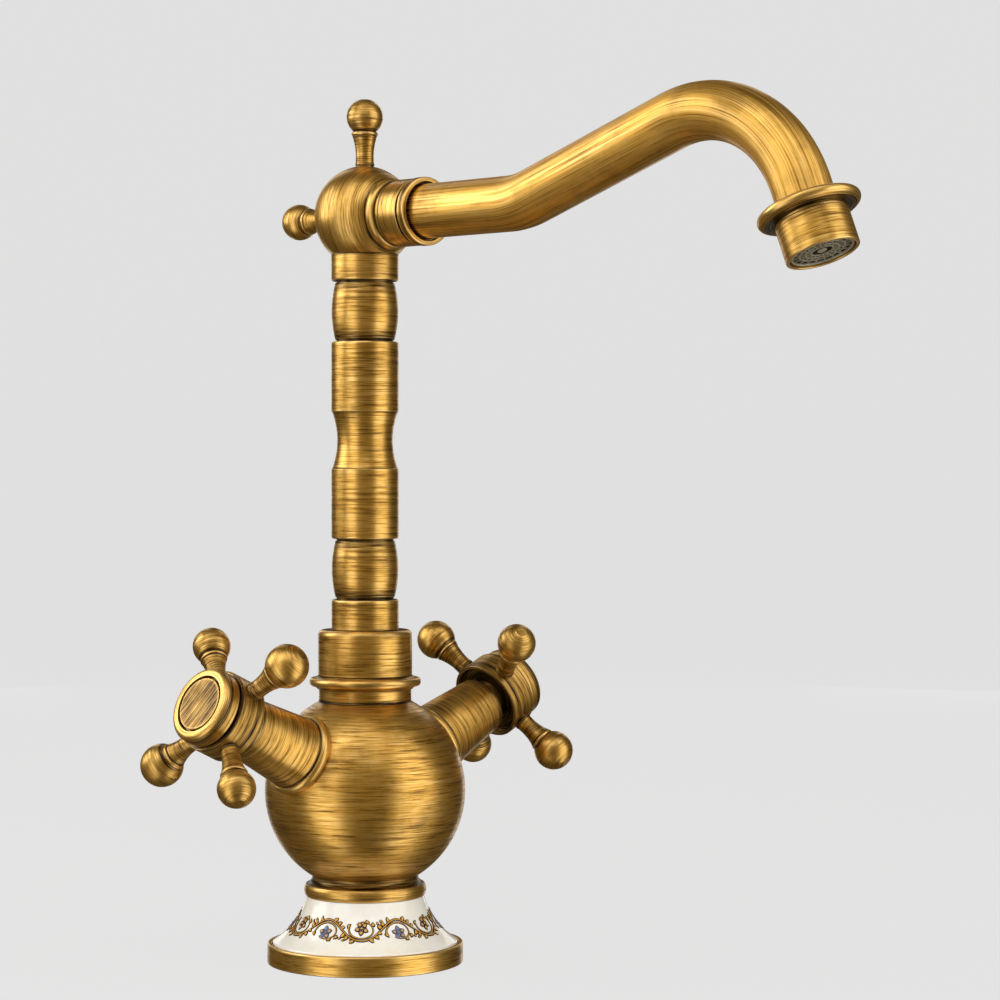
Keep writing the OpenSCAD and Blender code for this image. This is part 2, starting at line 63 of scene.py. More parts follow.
# radii and lengths in mm that no node of the frame gives
FOOT_TOP_R = 21.0           # glazed foot where it meets the collar
COVE_TOP_R = 18.9           # moulded collar at its upper end
SEAT_R = 15.5               # ball where it sits on the collar
NECK_R = 16.5               # straight neck on the ball
WAIST = 20.0                # length of the shaft's waist
DISC_R = 9.35               # index disc inside the bezel
RIBS = (7.3, 5.4, 3.5)      # rings on the aerator's face
VANE = (3.5, 9.4)           # inner and outer end of its radial vanes
GASKET_IN = 0.63 / 0.89     # the base gasket's inner radius over its outer one
SCROLL_R = 27.2             # radius at which the scroll band is laid out flat
SCROLL_MIDDLE = 9.6         # down the foot's slope to the middle of the band
SCROLL_SWING = 4.0          # how far the vine swings to each side of that middle

# places in mm along the spout's level axis, from the middle of the head
BEAD_START, BEAD_END, NUT_START, NUT_END, TUBE_START, FERRULE_END = 13.2, 17.2, 17.3, 28.5, 21.0, 32.7

# camera: degrees about Z and below level, lens in mm, and metres right, back and up
CAMERA_TURN, CAMERA_TIP, CAMERA_LENS = -44.82, 0.77, 103.36
CAMERA_PLACE = (0.04825, 1.02614, 0.17891)

# patina with painted shade, and wear with painted highlight: mm over which a hollow is looked for, how strongly it
# counts, and facets round
FINE_REACH, WIDE_REACH = 0.5, 1.8
FINE_GAIN, WIDE_GAIN, WEAR_AND_SHEEN_GAIN = 2.8, 1.7, 3.2
FEWEST, MOST = 40, 168

# pattern sizes per metre: toning clouds 13 mm wide, glaze pools 9 mm, flecks and gilt wear 1.1 mm
CLOUDS, POOLS, FLECKS = 75.0, 110.0, 900.0


# ---- measures taken from the frame -------------------------------------------------------


def span(node, origin, direction):
    """Lowest and highest place of a CAD node along an axis, and its largest radius, in mm."""
    co = np.array([v.co for v in frame["nodes"][node].data.vertices])
    rel = (co - np.array(origin)) / MM
    along = rel @ np.array(direction)
    radius = np.linalg.norm(rel - np.outer(along, direction), axis=1)
    return along.min(), along.max(), radius.max()


def level(node):
    """Bottom, top and radius of a node that is turned round the column's axis."""
    return span(node, (0, 0, 0), (0, 0, 1))


def handle_axis(side):
    """Centre of the ball body and the outward direction of one valve arm."""
    joint = next(j for j in frame["joints"] if j["name"] == side + "_handle_turn")
    direction = Vector(joint["axis"]).normalized()
    place = Vector(joint["pos_m"])
    return place - direction * (place.x / direction.x), direction


def middle(node):
    low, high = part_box(node)
    return (low + high) / 2


BALL = handle_axis("hot")[0]
HEAD = Vector((0, 0, middle("back_finial").z))


# ---- sizes and colours -------------------------------------------------------------------


def size(name, words, default, low=0.0, high=100.0):
    return bpy.props.FloatProperty(name=name, description=words, default=default, min=low, max=high)


def colour(name, words, default):
    """A colour property from an sRGB hex value, kept as linear numbers."""
    return bpy.props.FloatVectorProperty(
        name=name, description=words, default=linear(default)[:3], subtype="COLOR", min=0, max=1, size=3)


def linear(text):
    """sRGB hex to linear red, green, blue and alpha."""
    parts = [int(text[i:i + 2], 16) / 255 for i in (1, 3, 5)]
    return [c / 12.92 if c <= 0.04045 else ((c + 0.055) / 1.055) ** 2.4 for c in parts] + [1.0]


class TapShape(bpy.types.PropertyGroup):
    edge: size("Edge rounding", "Radius of the small turned edges, in mm", 0.22, 0.05, 0.6)
    chord: size("Facet length", "Length of a facet round a turned piece, in mm", 1.3, 0.6, 4.0)
    run: size("Level run", "Column axis to the first bend of the spout, in mm", 72.7)
    rise_radius: size("First bend", "Radius of the first bend, in mm", 40.4)
    rise_deg: size("Rise", "Slope of the rising part, in degrees", 17.8)
    rise_length: size("Rising part", "Length of the rising part, in mm", 65.3)
    arch_radius: size("Arch", "Radius of the arch, in mm", 42.8)
    drop_deg: size("Drop", "Angle below level at the outlet, in degrees", 67.8)
    tail: size("Tail", "Straight end of the tube inside the outlet, in mm", 9.0)
    wall: size("Tube wall", "Wall of the spout tube, in mm", 1.2)


class TapFinish(bpy.types.PropertyGroup):
    brass: colour("Brass", "Brushed brass under its lacquer", "#E8B24C")
    streak: colour("Brass streaks", "Darker lines left by the brushing", "#845D24")
    # pale brass of the light streaks and the worn edges; it also paints a highlight along those edges
    bright: colour("Worn brass", "Edges rubbed back to bright metal", "#FCD382")
    # patina brown, also used as painted shade in grooves, seams and gaps between parts
    patina_and_shade_brown: colour("Patina", "Brown left in grooves and seams", "#261502")
    glaze: colour("Glaze", "Cream glaze of the foot", "#FBF9F4")
    gilt: colour("Gilt", "Gold lustre on the scroll band", "#B98A3C")
    outline: colour("Scroll outline", "Brown line round the gilt relief", "#1C1006")
    petal: colour("Petal blue", "Blue grey wash on the flowers", "#6F7EA3")
    roughness: size("Roughness", "Roughness of the brushed brass", 0.34, 0.05, 1.0)


class TapScroll(bpy.types.PropertyGroup):
    repeats: bpy.props.IntProperty(name="Repeats", description="Scroll repeats round the foot",
                                   default=6, min=3, max=12)
    vine: size("Vine width", "Width of the vine line, in mm", 1.0, 0.2, 1.5)
    relief: size("Relief", "Height of the raised scroll, in mm", 0.34, 0.1, 1.0)
    vanes: bpy.props.IntProperty(name="Vanes", description="Radial vanes of the aerator insert",
                                 default=20, min=8, max=48)


class TapStage(bpy.types.PropertyGroup):
    floor: colour("Floor", "Pale floor and backdrop", "#E2E2E2")
    key: size("Light strength", "Brightness of the two front boxes, which the others follow", 1.48)
    fill: size("Fill strength", "Brightness of the wide panel behind the camera", 0.1)
    wash: size("Wash strength", "Brightness of the panel that no surface reflects as a shape", 1.3)
    left_deg: size("Left box", "Angle of the left soft box from the camera, in degrees", 46.0)
    right_deg: size("Right box", "Angle of the right soft box from the camera, in degrees", 64.0)
    room: size("Room", "Brightness of the dim room that the metal reflects", 0.1, 0.0, 1.0)


TURNED, SMALL, TUBE = "antique brass, turned", "antique brass, small turned", "antique brass, drawn tube"
# the dark recess finish is brass painted dark as shade in recesses and gaps
DISC, PAINTED_SHADE_BRASS, AERATOR = "antique brass, straight brushed", "antique brass, dark recess", "dulled aerator steel"
GLAZED, GILT = "cream glazed stoneware", "gold lustre relief"


# ---- outlines ----------------------------------------------------------------------------


def arc(centre, radius, start, end, count=16):
    angles = np.radians(np.linspace(start, end, count + 1))
    return [(centre[0] + radius * math.cos(a), centre[1] + radius * math.sin(a), 0) for a in angles]


def bow(p, q, depth, count=20):
    """Points from p to q that bow to the left of the way by depth."""
    (pr, ps), (qr, qs) = p, q
    length = math.hypot(qr - pr, qs - ps)
    left = (-(qs - ps) / length, (qr - pr) / length)
    out = []
    for t in np.linspace(0, 1, count + 1):
        d = depth * 4 * t * (1 - t)
        out.append((pr + (qr - pr) * t + left[0] * d, ps + (qs - ps) * t + left[1] * d, 0))
    return out


def bead(radius, depth, low, high, count=18):
    """A bead that swells from radius - depth at both ends to radius in the middle."""
    return [(radius - depth + depth * math.cos(a), (low + high) / 2 + (high - low) / 2 * math.sin(a), 0)
            for a in np.linspace(-math.pi / 2, math.pi / 2, count + 1)]


NEAR_EDGE = (0.15, 0.4, 0.8, 1.4, 2.2, 3.2, 4.5, 6.0, 8.0, 11.0, 15.0)


def outline(points, edge, closed):
    """Rounds the corners of an outline and divides its sides, finely near the corners."""
    pts = [np.array(p[:2], float) for p in points]
    fillets = [p[2] if len(p) > 2 else edge for p in points]
    n = len(pts)
    ends = [None] * n
    for i in range(n):
        if not closed and i in (0, n - 1) or fillets[i] == 0:
            ends[i] = [pts[i]]
            continue
        before, after = pts[i - 1] - pts[i], pts[(i + 1) % n] - pts[i]
        lb, la = np.linalg.norm(before), np.linalg.norm(after)
        reach = min(fillets[i], lb * 0.45, la * 0.45)
        a, b = pts[i] + before / lb * reach, pts[i] + after / la * reach
        ends[i] = [a * (1 - t) ** 2 + pts[i] * 2 * t * (1 - t) + b * t * t for t in np.linspace(0, 1, 6)]
    out = []
    for i in range(n):
        out += ends[i]
        if i == n - 1 and not closed:
            break
        a, b = ends[i][-1], ends[(i + 1) % n][0]
        length = np.linalg.norm(b - a)
        steps = [d for d in NEAR_EDGE if d < length / 2 - 0.05]
        out += [a + (b - a) * d / length for d in steps]
        out += [a + (b - a) * (1 - d / length) for d in reversed(steps)]
    kept = [out[0]]
    for p in out[1:]:
        if np.linalg.norm(p - kept[-1]) > 1e-4:
            kept.append(p)
    if closed and np.linalg.norm(kept[0] - kept[-1]) < 1e-4:
        kept.pop()
    kept = np.array(kept)
    r, s = kept[:, 0], kept[:, 1]
    if np.sum(r * np.roll(s, -1) - np.roll(r, -1) * s) < 0:
        kept = kept[::-1]
    return kept


def sag(points, arc_length, reach, closed):
    """How far each point lies below (+) or above (-) the line between its neighbours at reach."""
    total = arc_length[-1] + np.linalg.norm(points[0] - points[-1])
    if closed:
        a = np.concatenate([arc_length - total, arc_length, arc_length + total])
        p = np.vstack([points] * 3)
    else:
        a, p = arc_length, points
    def at(d):
        return np.stack([np.interp(arc_length + d, a, p[:, k]) for k in (0, 1)], 1)
    ahead, behind = at(reach), at(-reach)
    along = ahead - behind
    normal = np.stack([along[:, 1], -along[:, 0]], 1)
    normal /= np.maximum(np.linalg.norm(normal, axis=1), 1e-9)[:, None]
    return np.sum(((ahead + behind) / 2 - points) * normal, 1) / reach


def straight(origin, direction):
    """Places a turned shape on a straight axis: gives origin, two sides and direction at s mm."""
    direction = Vector(direction).normalized()
    side = direction.cross(Vector((0, 1, 0)) if abs(direction.y) < 0.9 else Vector((0, 0, 1))).normalized()
    other = direction.cross(side)
    def spine(s):
        centre = np.array(origin)[None, :] + np.outer(s, np.array(direction)) * MM
        ones = np.ones((len(s), 1))
        return centre, ones * np.array(side), ones * np.array(other)
    return spine


def turned(name, spine, points, shape, patina_and_shade_marks=(), closed=True, facets=None):
    """A turned or swept solid from its outline (radius, place along the axis), in mm.

    Each added mark, (place, reach) or (place, reach, strength), lays patina and painted shade along the axis, at
    seams and gaps between parts.
    An outline that isn't closed starts and ends on the axis, at a pole. The mesh gets turn,
    its own round coordinates for the brushing, a mask of patina and painted shade for the hollows, and a mask of
    wear and painted highlight for the edges.
    """
    loop = outline(points, shape.edge, closed)
    gaps = np.linalg.norm(np.diff(loop, axis=0), axis=1)
    length = np.concatenate([[0], np.cumsum(gaps)])
    fine, wide = sag(loop, length, FINE_REACH, closed), sag(loop, length, WIDE_REACH, closed)
    hollow = np.clip(fine * FINE_GAIN, 0, 1) + np.clip(wide * WIDE_GAIN, 0, 1)
    wear_and_sheen = np.clip(-fine * WEAR_AND_SHEEN_GAIN, 0, 1)
    # marks of patina and painted shade where pieces meet and in the gaps between them
    for place, reach, *strength in patina_and_shade_marks:
        near = np.clip(1 - np.abs(loop[:, 1] - place) / reach, 0, 1) * (strength[0] if strength else 1)
        hollow, wear_and_sheen = hollow + near, wear_and_sheen * (1 - near)
    hollow = np.clip(hollow, 0, 1)
    n = facets or int(np.clip(2 * math.pi * loop[:, 0].max() / shape.chord, FEWEST, MOST))
    theta = np.arange(n) * 2 * math.pi / n
    centre, side, other = spine(loop[:, 1])
    first = 0 if closed else 1
    rows = range(first, len(loop) - first)
    radial = (np.cos(theta)[None, :, None] * side[rows][:, None, :]
              + np.sin(theta)[None, :, None] * other[rows][:, None, :])
    r = loop[rows, 0]
    co = centre[rows][:, None, :] + radial * r[:, None, None] * MM
    turn = np.stack([np.outer(r, np.cos(theta)), np.outer(r, np.sin(theta)),
                     np.repeat(length[rows][:, None], n, 1)], 2)
    co, turn = co.reshape(-1, 3), turn.reshape(-1, 3)
    hol, wear_and_sheen_per_vertex = np.repeat(hollow[rows], n), np.repeat(wear_and_sheen[rows], n)
    m = len(rows)
    i, j = np.meshgrid(np.arange(m if closed else m - 1), np.arange(n), indexing="ij")
    i2, j2 = (i + 1) % m, (j + 1) % n
    quads = np.stack([i * n + j, i * n + j2, i2 * n + j2, i2 * n + j], 2).reshape(-1, 4)
    v = length / max(length[-1], 1e-6)
    v0, v1 = v[rows][i], np.where(i2 == 0, 1.0, v[rows][i2])
    u0, u1 = j / n, (j + 1) / n
    uv = np.stack([np.stack([u0, v0], 2), np.stack([u1, v0], 2), np.stack([u1, v1], 2),
                   np.stack([u0, v1], 2)], 2).reshape(-1, 2)
    faces, uvs = quads.tolist(), uv.tolist()
    if not closed:
        poles = [(0, 0, 0), (len(loop) - 1, m - 1, 1)]
        co = np.vstack([co, centre[[0, -1]]])
        turn = np.vstack([turn, [[0, 0, length[0]], [0, 0, length[-1]]]])
        hol, wear_and_sheen_per_vertex = np.append(hol, hollow[[0, -1]]), np.append(wear_and_sheen_per_vertex, wear_and_sheen[[0, -1]])
        for at, row, last in poles:
            tip = m * n + last
            for k in range(n):
                a, b = row * n + k, row * n + (k + 1) % n
                faces.append([a, tip, b] if not last else [a, b, tip])
                corner = [[k / n, v[row + 1]], [(k + 0.5) / n, v[at]], [(k + 1) / n, v[row + 1]]]
                uvs += corner if not last else [corner[0], corner[2], corner[1]]
    mesh = bpy.data.meshes.new(name)
    mesh.from_pydata(co.tolist(), [], faces)
    mesh.uv_layers.new(name="round").data.foreach_set("uv", np.array(uvs, np.float32).ravel())
    mesh.attributes.new("turn", "FLOAT_VECTOR", "POINT").data.foreach_set(
        "vector", turn.astype(np.float32).ravel())
    mesh.attributes.new("hollow", "FLOAT", "POINT").data.foreach_set("value", hol.astype(np.float32))
    mesh.attributes.new("wear_and_sheen", "FLOAT", "POINT").data.foreach_set("value", wear_and_sheen_per_vertex.astype(np.float32))
    mesh.shade_smooth()
    mesh.validate()
    return placed(name, mesh)


def placed(name, data):
    """A new object in the scene, at the origin."""
    piece = bpy.data.objects.new(name, data)
    bpy.context.scene.collection.objects.link(piece)
    return piece


def finish(piece, body, slot, material, *nodes):
    """Gives a piece its material and body, and hides the CAD nodes that it stands for. Its slot is not used.

    A material of None keeps the one that the piece came with.
    """
    if material:
        piece.data.materials.clear()
        piece.data.materials.append(bpy.data.materials[material])
    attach(piece, body)
    if nodes:
        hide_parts(*nodes)
    return piece


def brass(name, spine, points, shape, patina_and_shade_marks, body, node, material=TURNED, **options):
    """A turned piece of antique brass that stands for one CAD node."""
    piece = turned(name, spine, points, shape, patina_and_shade_marks, **options)
    return finish(piece, body, "antique_brass", material, node)


# ---- materials ---------------------------------------------------------------------------


def add(tree, kind, links=None, **settings):
    """Adds one node: settings are its properties, links gives its inputs a value or an output."""
    made = tree.nodes.new(kind)
    for key, value in settings.items():
        setattr(made, key, value)
    for key, value in (links or {}).items():
        socket = made.inputs[key]
        if isinstance(value, bpy.types.NodeSocket):
            tree.links.new(value, socket)
        else:
            socket.default_value = value
    return made


def surface(name):
    """A new material's empty node tree."""
    material = bpy.data.materials.new(name)
    material.use_nodes = True
    material.node_tree.nodes.clear()
    return material.node_tree


def shade(tree, height, strength, depth_mm, links):
    """Ends a material: a bump from a height pattern, one Principled shader and the output."""
    bump = add(tree, "ShaderNodeBump", {"Height": height, "Strength": strength, "Distance": depth_mm * MM})
    shader = add(tree, "ShaderNodeBsdfPrincipled", {**links, "Normal": bump.outputs[0]})
    add(tree, "ShaderNodeOutputMaterial", {"Surface": shader.outputs[0]})


def stops(ramp, *pairs):
    """Sets a colour ramp's stops from (place, linear colour or grey)."""
    elements = ramp.color_ramp.elements
    while len(elements) < len(pairs):
        elements.new(0.5)
    for element, (place, value) in zip(elements, pairs):
        element.position = place
        element.color = (value, value, value, 1) if isinstance(value, float) else (*value[:3], 1)
    return ramp.outputs["Color"]


def brushed(name, look, lines, bands, roughness, anisotropy, bump, contrast=1.0, tilt=0.0, toning_and_shade=0.0):
    """Antique brass: brushed, toned brown with painted shade in hollows and seams, rubbed back and painted bright
    on its edges, and lacquered.

    lines and bands are fine and broad streaks per mm, twice across the axis and along the outline.
    """
    tree = surface(name)
    turn = add(tree, "ShaderNodeVectorRotate", {
        "Vector": add(tree, "ShaderNodeAttribute", attribute_name="turn").outputs["Vector"],
        "Angle": math.radians(tilt)}).outputs[0]
    hollow, wear_and_sheen = (add(tree, "ShaderNodeAttribute", attribute_name=key).outputs["Fac"]
                    for key in ("hollow", "wear_and_sheen"))
    fine, broad = (add(tree, "ShaderNodeTexNoise", {
        "Vector": add(tree, "ShaderNodeMapping", {"Vector": turn, "Scale": scale}).outputs[0],
        "Scale": 1.0, "Detail": detail, "Roughness": 0.62, "Distortion": 0.2}).outputs["Fac"]
        for scale, detail in ((lines, 4.0), (bands, 3.0)))
    spot = add(tree, "ShaderNodeTexCoord").outputs["Object"]
    cloud = add(tree, "ShaderNodeTexNoise", {
        "Vector": spot, "Scale": CLOUDS, "Detail": 5.0, "Roughness": 0.6}).outputs["Fac"]
    times, times_add = ({"operation": kind, "use_clamp": True} for kind in ("MULTIPLY", "MULTIPLY_ADD"))
    some_broad = add(tree, "ShaderNodeMath", {0: broad, 1: 0.4}, **times).outputs[0]
    grain = add(tree, "ShaderNodeMath", {0: fine, 1: 0.6, 2: some_broad}, **times_add).outputs[0]
    tone = stops(add(tree, "ShaderNodeValToRGB", {"Fac": grain}),
                 (0.5 - 0.13 / contrast, look.streak), (0.5 - 0.01 / contrast, look.brass),
                 (0.5 + 0.14 / contrast, look.bright))
    # brown toning, patina with painted shade: full in the hollows and seams, thin and cloudy on the open faces,
    # thicker along dark lines
    cloudy = add(tree, "ShaderNodeMapRange", {"Value": cloud, "From Min": 0.46, "From Max": 0.72,
                                              "To Min": toning_and_shade, "To Max": toning_and_shade + 0.42}).outputs[0]
    lined = add(tree, "ShaderNodeMapRange", {"Value": grain, "From Min": 0.62, "From Max": 0.4,
                                             "To Min": 0.45, "To Max": 1.25}).outputs[0]
    most = add(tree, "ShaderNodeMath", {0: hollow, 1: cloudy}, operation="MAXIMUM", use_clamp=True).outputs[0]
    amount = add(tree, "ShaderNodeMath", {0: most, 1: lined}, **times).outputs[0]
    brown = add(tree, "ShaderNodeMix", {"Factor": amount, 6: tone, 7: (*look.patina_and_shade_brown, 1)}, data_type="RGBA")
    # edges rubbed back to bright metal and painted as a highlight, most along the light lines
    light_line = add(tree, "ShaderNodeMath", {0: fine, 1: 1.6}, **times).outputs[0]
    bright_wear_and_sheen = add(tree, "ShaderNodeMath", {0: wear_and_sheen, 1: light_line}, **times).outputs[0]
    base = add(tree, "ShaderNodeMix", {"Factor": bright_wear_and_sheen, 6: brown.outputs[2], 7: (*look.bright, 1)},
               data_type="RGBA")
    rough = add(tree, "ShaderNodeMapRange", {"Value": fine, "From Min": 0.3, "From Max": 0.7,
                                             "To Min": roughness + 0.06, "To Max": roughness - 0.06})
    dull = add(tree, "ShaderNodeMath", {0: amount, 1: 0.22, 2: rough.outputs[0]}, **times_add)
    links = {"Base Color": base.outputs[2], "Roughness": dull.outputs[0], "Metallic": 1.0,
             "Coat Weight": 0.3, "Coat Roughness": 0.25}
    if anisotropy:
        tangent = add(tree, "ShaderNodeTangent", direction_type="UV_MAP", uv_map="round").outputs[0]
        links |= {"Anisotropic": anisotropy[0], "Anisotropic Rotation": anisotropy[1], "Tangent": tangent}
    shade(tree, grain, bump, 0.12, links)


def plain(name, hex_value, roughness, metallic, grain_mm, bump, second=None, slot_grime_and_shade=None):
    """A material with one fine grain in its colour, roughness and bump, and grime with painted shade in its
    hollows.
    """
    tree = surface(name)
    spot = add(tree, "ShaderNodeTexCoord").outputs["Object"]
    grain = add(tree, "ShaderNodeTexNoise", {
        "Vector": spot, "Scale": 1 / (grain_mm * MM), "Detail": 4.0, "Roughness": 0.6}).outputs["Fac"]
    base = linear(hex_value)
    other = linear(second) if second else [c * 0.8 for c in base]
    clean = stops(add(tree, "ShaderNodeValToRGB", {"Fac": grain}), (0.35, other), (0.62, base))
    if slot_grime_and_shade:
        hollow = add(tree, "ShaderNodeAttribute", attribute_name="hollow").outputs["Fac"]
        clean = add(tree, "ShaderNodeMix", {"Factor": hollow, 6: clean, 7: linear(slot_grime_and_shade)},
                    data_type="RGBA").outputs[2]
    rough = add(tree, "ShaderNodeMapRange", {"Value": grain, "From Min": 0.3, "From Max": 0.7,
                                             "To Min": roughness * 0.85, "To Max": roughness * 1.15})
    shade(tree, grain, bump, 0.04, {"Base Color": clean, "Roughness": rough.outputs[0], "Metallic": metallic})


class TAP_OT_finishes(bpy.types.Operator):
    """Makes every material, each from its real metal, glaze, rubber or plastic; the dark recess brass paints shade
    """
    bl_idname = "tap.finishes"
    bl_label = "Finishes"

    def execute(self, context):
        look = context.scene.tap_finish
        rough = look.roughness
        # turned and brushed round its axis: wavy rings of light and dark, drawn 0.4 mm apart, coarser
        # than real brush marks so that they show
        brushed(TURNED, look, (0.085, 0.085, 2.4), (0.045, 0.045, 0.9), rough, (0.3, 0.25), 0.26,
                contrast=1.05, toning_and_shade=0.14)
        # drawn tube, bent and then brushed along its length: long fine streaks, also drawn coarse
        brushed(TUBE, look, (2.3, 2.3, 0.03), (0.9, 0.9, 0.02), rough + 0.06, (0.65, 0.0), 0.24, contrast=0.95)
        # small knobs turned and brushed the same way: shorter rings and more brown toning
        brushed(SMALL, look, (0.12, 0.12, 2.4), (0.08, 0.08, 1.1), rough, (0.3, 0.25), 0.26, toning_and_shade=0.24)
        # flat disc brushed straight across at a slant, toned dark, the heavy toning partly painted shade to hold
        # down the light it faces
        brushed(DISC, look, (0.06, 2.2, 0.0), (0.05, 0.8, 0.0), rough + 0.08, None, 0.4, tilt=28.0, toning_and_shade=0.62)
        # brass painted dark as the shade in recesses and gaps, on inner pieces, spindles and cartridges
        plain(PAINTED_SHADE_BRASS, "#5A4018", 0.5, 1.0, 0.8, 0.2, "#2E1E08")
        # machined brass: clean yellow metal with a fine cutting grain
        plain("machined brass", "#B08B45", 0.36, 1.0, 0.6, 0.2, "#84642A")
        # nitrile rubber: matt, nearly black, with a faint grain
        plain("nitrile rubber", "#1B1B1B", 0.62, 0.0, 0.3, 0.25)
        # moulded acetal: even off-white with a soft sheen
        plain("moulded acetal", "#E4DFD2", 0.42, 0.0, 0.7, 0.1)
        # lapped alumina ceramic: ivory, smooth and glossy
        plain("lapped ceramic", "#E9E5DC", 0.22, 0.0, 0.2, 0.05)
        # plated steel: pale grey metal with a soft sheen
        plain("plated steel", "#B5B2AA", 0.33, 1.0, 0.35, 0.15)
        # nickel plate gone dull and pale with scale, black in its slots with grime and painted shade
        plain(AERATOR, "#B9B09A", 0.5, 0.35, 0.4, 0.2, "#8C8470", slot_grime_and_shade="#0C0A07")
        self.glaze(look)
        self.gilt(look)
        return {"FINISHED"}

    def glaze(self, look):
        # glazed stoneware: cream body under a clear pooled gloss, faintly uneven
        tree = surface(GLAZED)
        spot = add(tree, "ShaderNodeTexCoord").outputs["Object"]
        pool = add(tree, "ShaderNodeTexNoise", {
            "Vector": spot, "Scale": POOLS, "Detail": 3.0, "Roughness": 0.5}).outputs["Fac"]
        fleck = add(tree, "ShaderNodeTexNoise", {
            "Vector": spot, "Scale": FLECKS, "Detail": 2.0, "Roughness": 0.6}).outputs["Fac"]
        warm = [c * f for c, f in zip(look.glaze, (0.95, 0.92, 0.84))]
        part = add(tree, "ShaderNodeMath", {0: pool, 1: 0.65}, operation="MULTIPLY").outputs[0]
        mixed = add(tree, "ShaderNodeMath", {0: fleck, 1: 0.35, 2: part}, operation="MULTIPLY_ADD").outputs[0]
        base = stops(add(tree, "ShaderNodeValToRGB", {"Fac": mixed}), (0.36, warm), (0.6, look.glaze))
        shade(tree, pool, 0.25, 0.2, {
            "Base Color": base, "Roughness": 0.3, "Coat Weight": 0.7, "Coat Roughness": 0.08})

    def gilt(self, look):
        # gold lustre fired on a raised line: brown at its foot, gold on its crest
        tree = surface(GILT)
        crest, tint = (add(tree, "ShaderNodeAttribute", attribute_name=key).outputs["Fac"]
                       for key in ("crest", "tint"))
        spot = add(tree, "ShaderNodeTexCoord").outputs["Object"]
        wear = add(tree, "ShaderNodeTexNoise", {
            "Vector": spot, "Scale": FLECKS, "Detail": 3.0, "Roughness": 0.6}).outputs["Fac"]
        wear_and_sheen = add(tree, "ShaderNodeMath", {0: wear, 1: 0.5, 2: crest}, operation="MULTIPLY_ADD").outputs[0]
        gold = stops(add(tree, "ShaderNodeValToRGB", {"Fac": wear_and_sheen}), (0.55, look.outline), (0.8, look.gilt),
                     (1.0, [min(1.0, c * 1.5) for c in look.gilt]))
        mix = add(tree, "ShaderNodeMix", {"Factor": tint, 6: gold, 7: (*look.petal, 1)}, data_type="RGBA")
        shade(tree, wear, 0.3, 0.08, {
            "Base Color": mix.outputs[2], "Metallic": 0.25, "Specular IOR Level": 0.25, "Roughness": 0.42})


# ---- foot and body -----------------------------------------------------------------------


def foot_slope(count=40):
    """The glazed foot's outer line from its rim to the collar, (radius, height) in mm."""
    _, base_h, _ = level("base_ring")
    _, top, foot_r = level("ceramic_base")
    return bow((foot_r - 0.9, base_h + 0.9), (FOOT_TOP_R, top), 1.9, count)


class TAP_OT_foot(bpy.types.Operator):
    """Base ring, glazed foot and moulded collar"""
    bl_idname = "tap.foot"
    bl_label = "Foot"

    def execute(self, context):
        shape = context.scene.tap_shape
        axis = straight((0, 0, 0), UP)
        low, top, r = level("base_ring")
        _, g1, gasket_r = level("base_gasket")
        gasket_in = gasket_r * GASKET_IN
        ceramic_low, seam, foot_r = level("ceramic_base")
        inner = level("inlet_block")[2] + 0.1
        brass("base_ring_brushed", axis, [
            (inner, low), (gasket_in, low), (gasket_in, g1), (gasket_r, g1), (gasket_r, low),
            (r, low, 0.6), (r, top, 1.0), (foot_r + 0.3, top, 0.3), (foot_r + 0.3, ceramic_low),
            (inner, ceramic_low)], shape, ((low, 0.5),), "body", "base_ring")
        finish(turned("glazed_foot", axis, [
            (inner + 0.6, seam - 6), (inner + 0.6, seam), (foot_slope()[-1][0], seam, 0.25),
            *foot_slope()[::-1][1:], *arc((foot_r - 0.8, top - 0.1), 0.8, 55, 0, 8),
            (foot_r, ceramic_low, 0.3), (foot_r - 5, ceramic_low, 0.3)], shape), "body", "glazed_foot",
            GLAZED, "ceramic_base")
        c0, c1, c_r = level("foot_collar")
        cove = c0 + 0.62 * (c1 - c0)
        brass("moulded_collar", axis, [
            (inner, c0), *bead(c_r, 1.0, c0, cove), *bow((c_r - 1.0, cove + 0.05), (COVE_TOP_R, c1), 0.55),
            (inner, c1 - 0.1)], shape, ((c1, 2.6), (c0, 0.35), (cove, 0.7)), "body", "foot_collar")
        return {"FINISHED"}


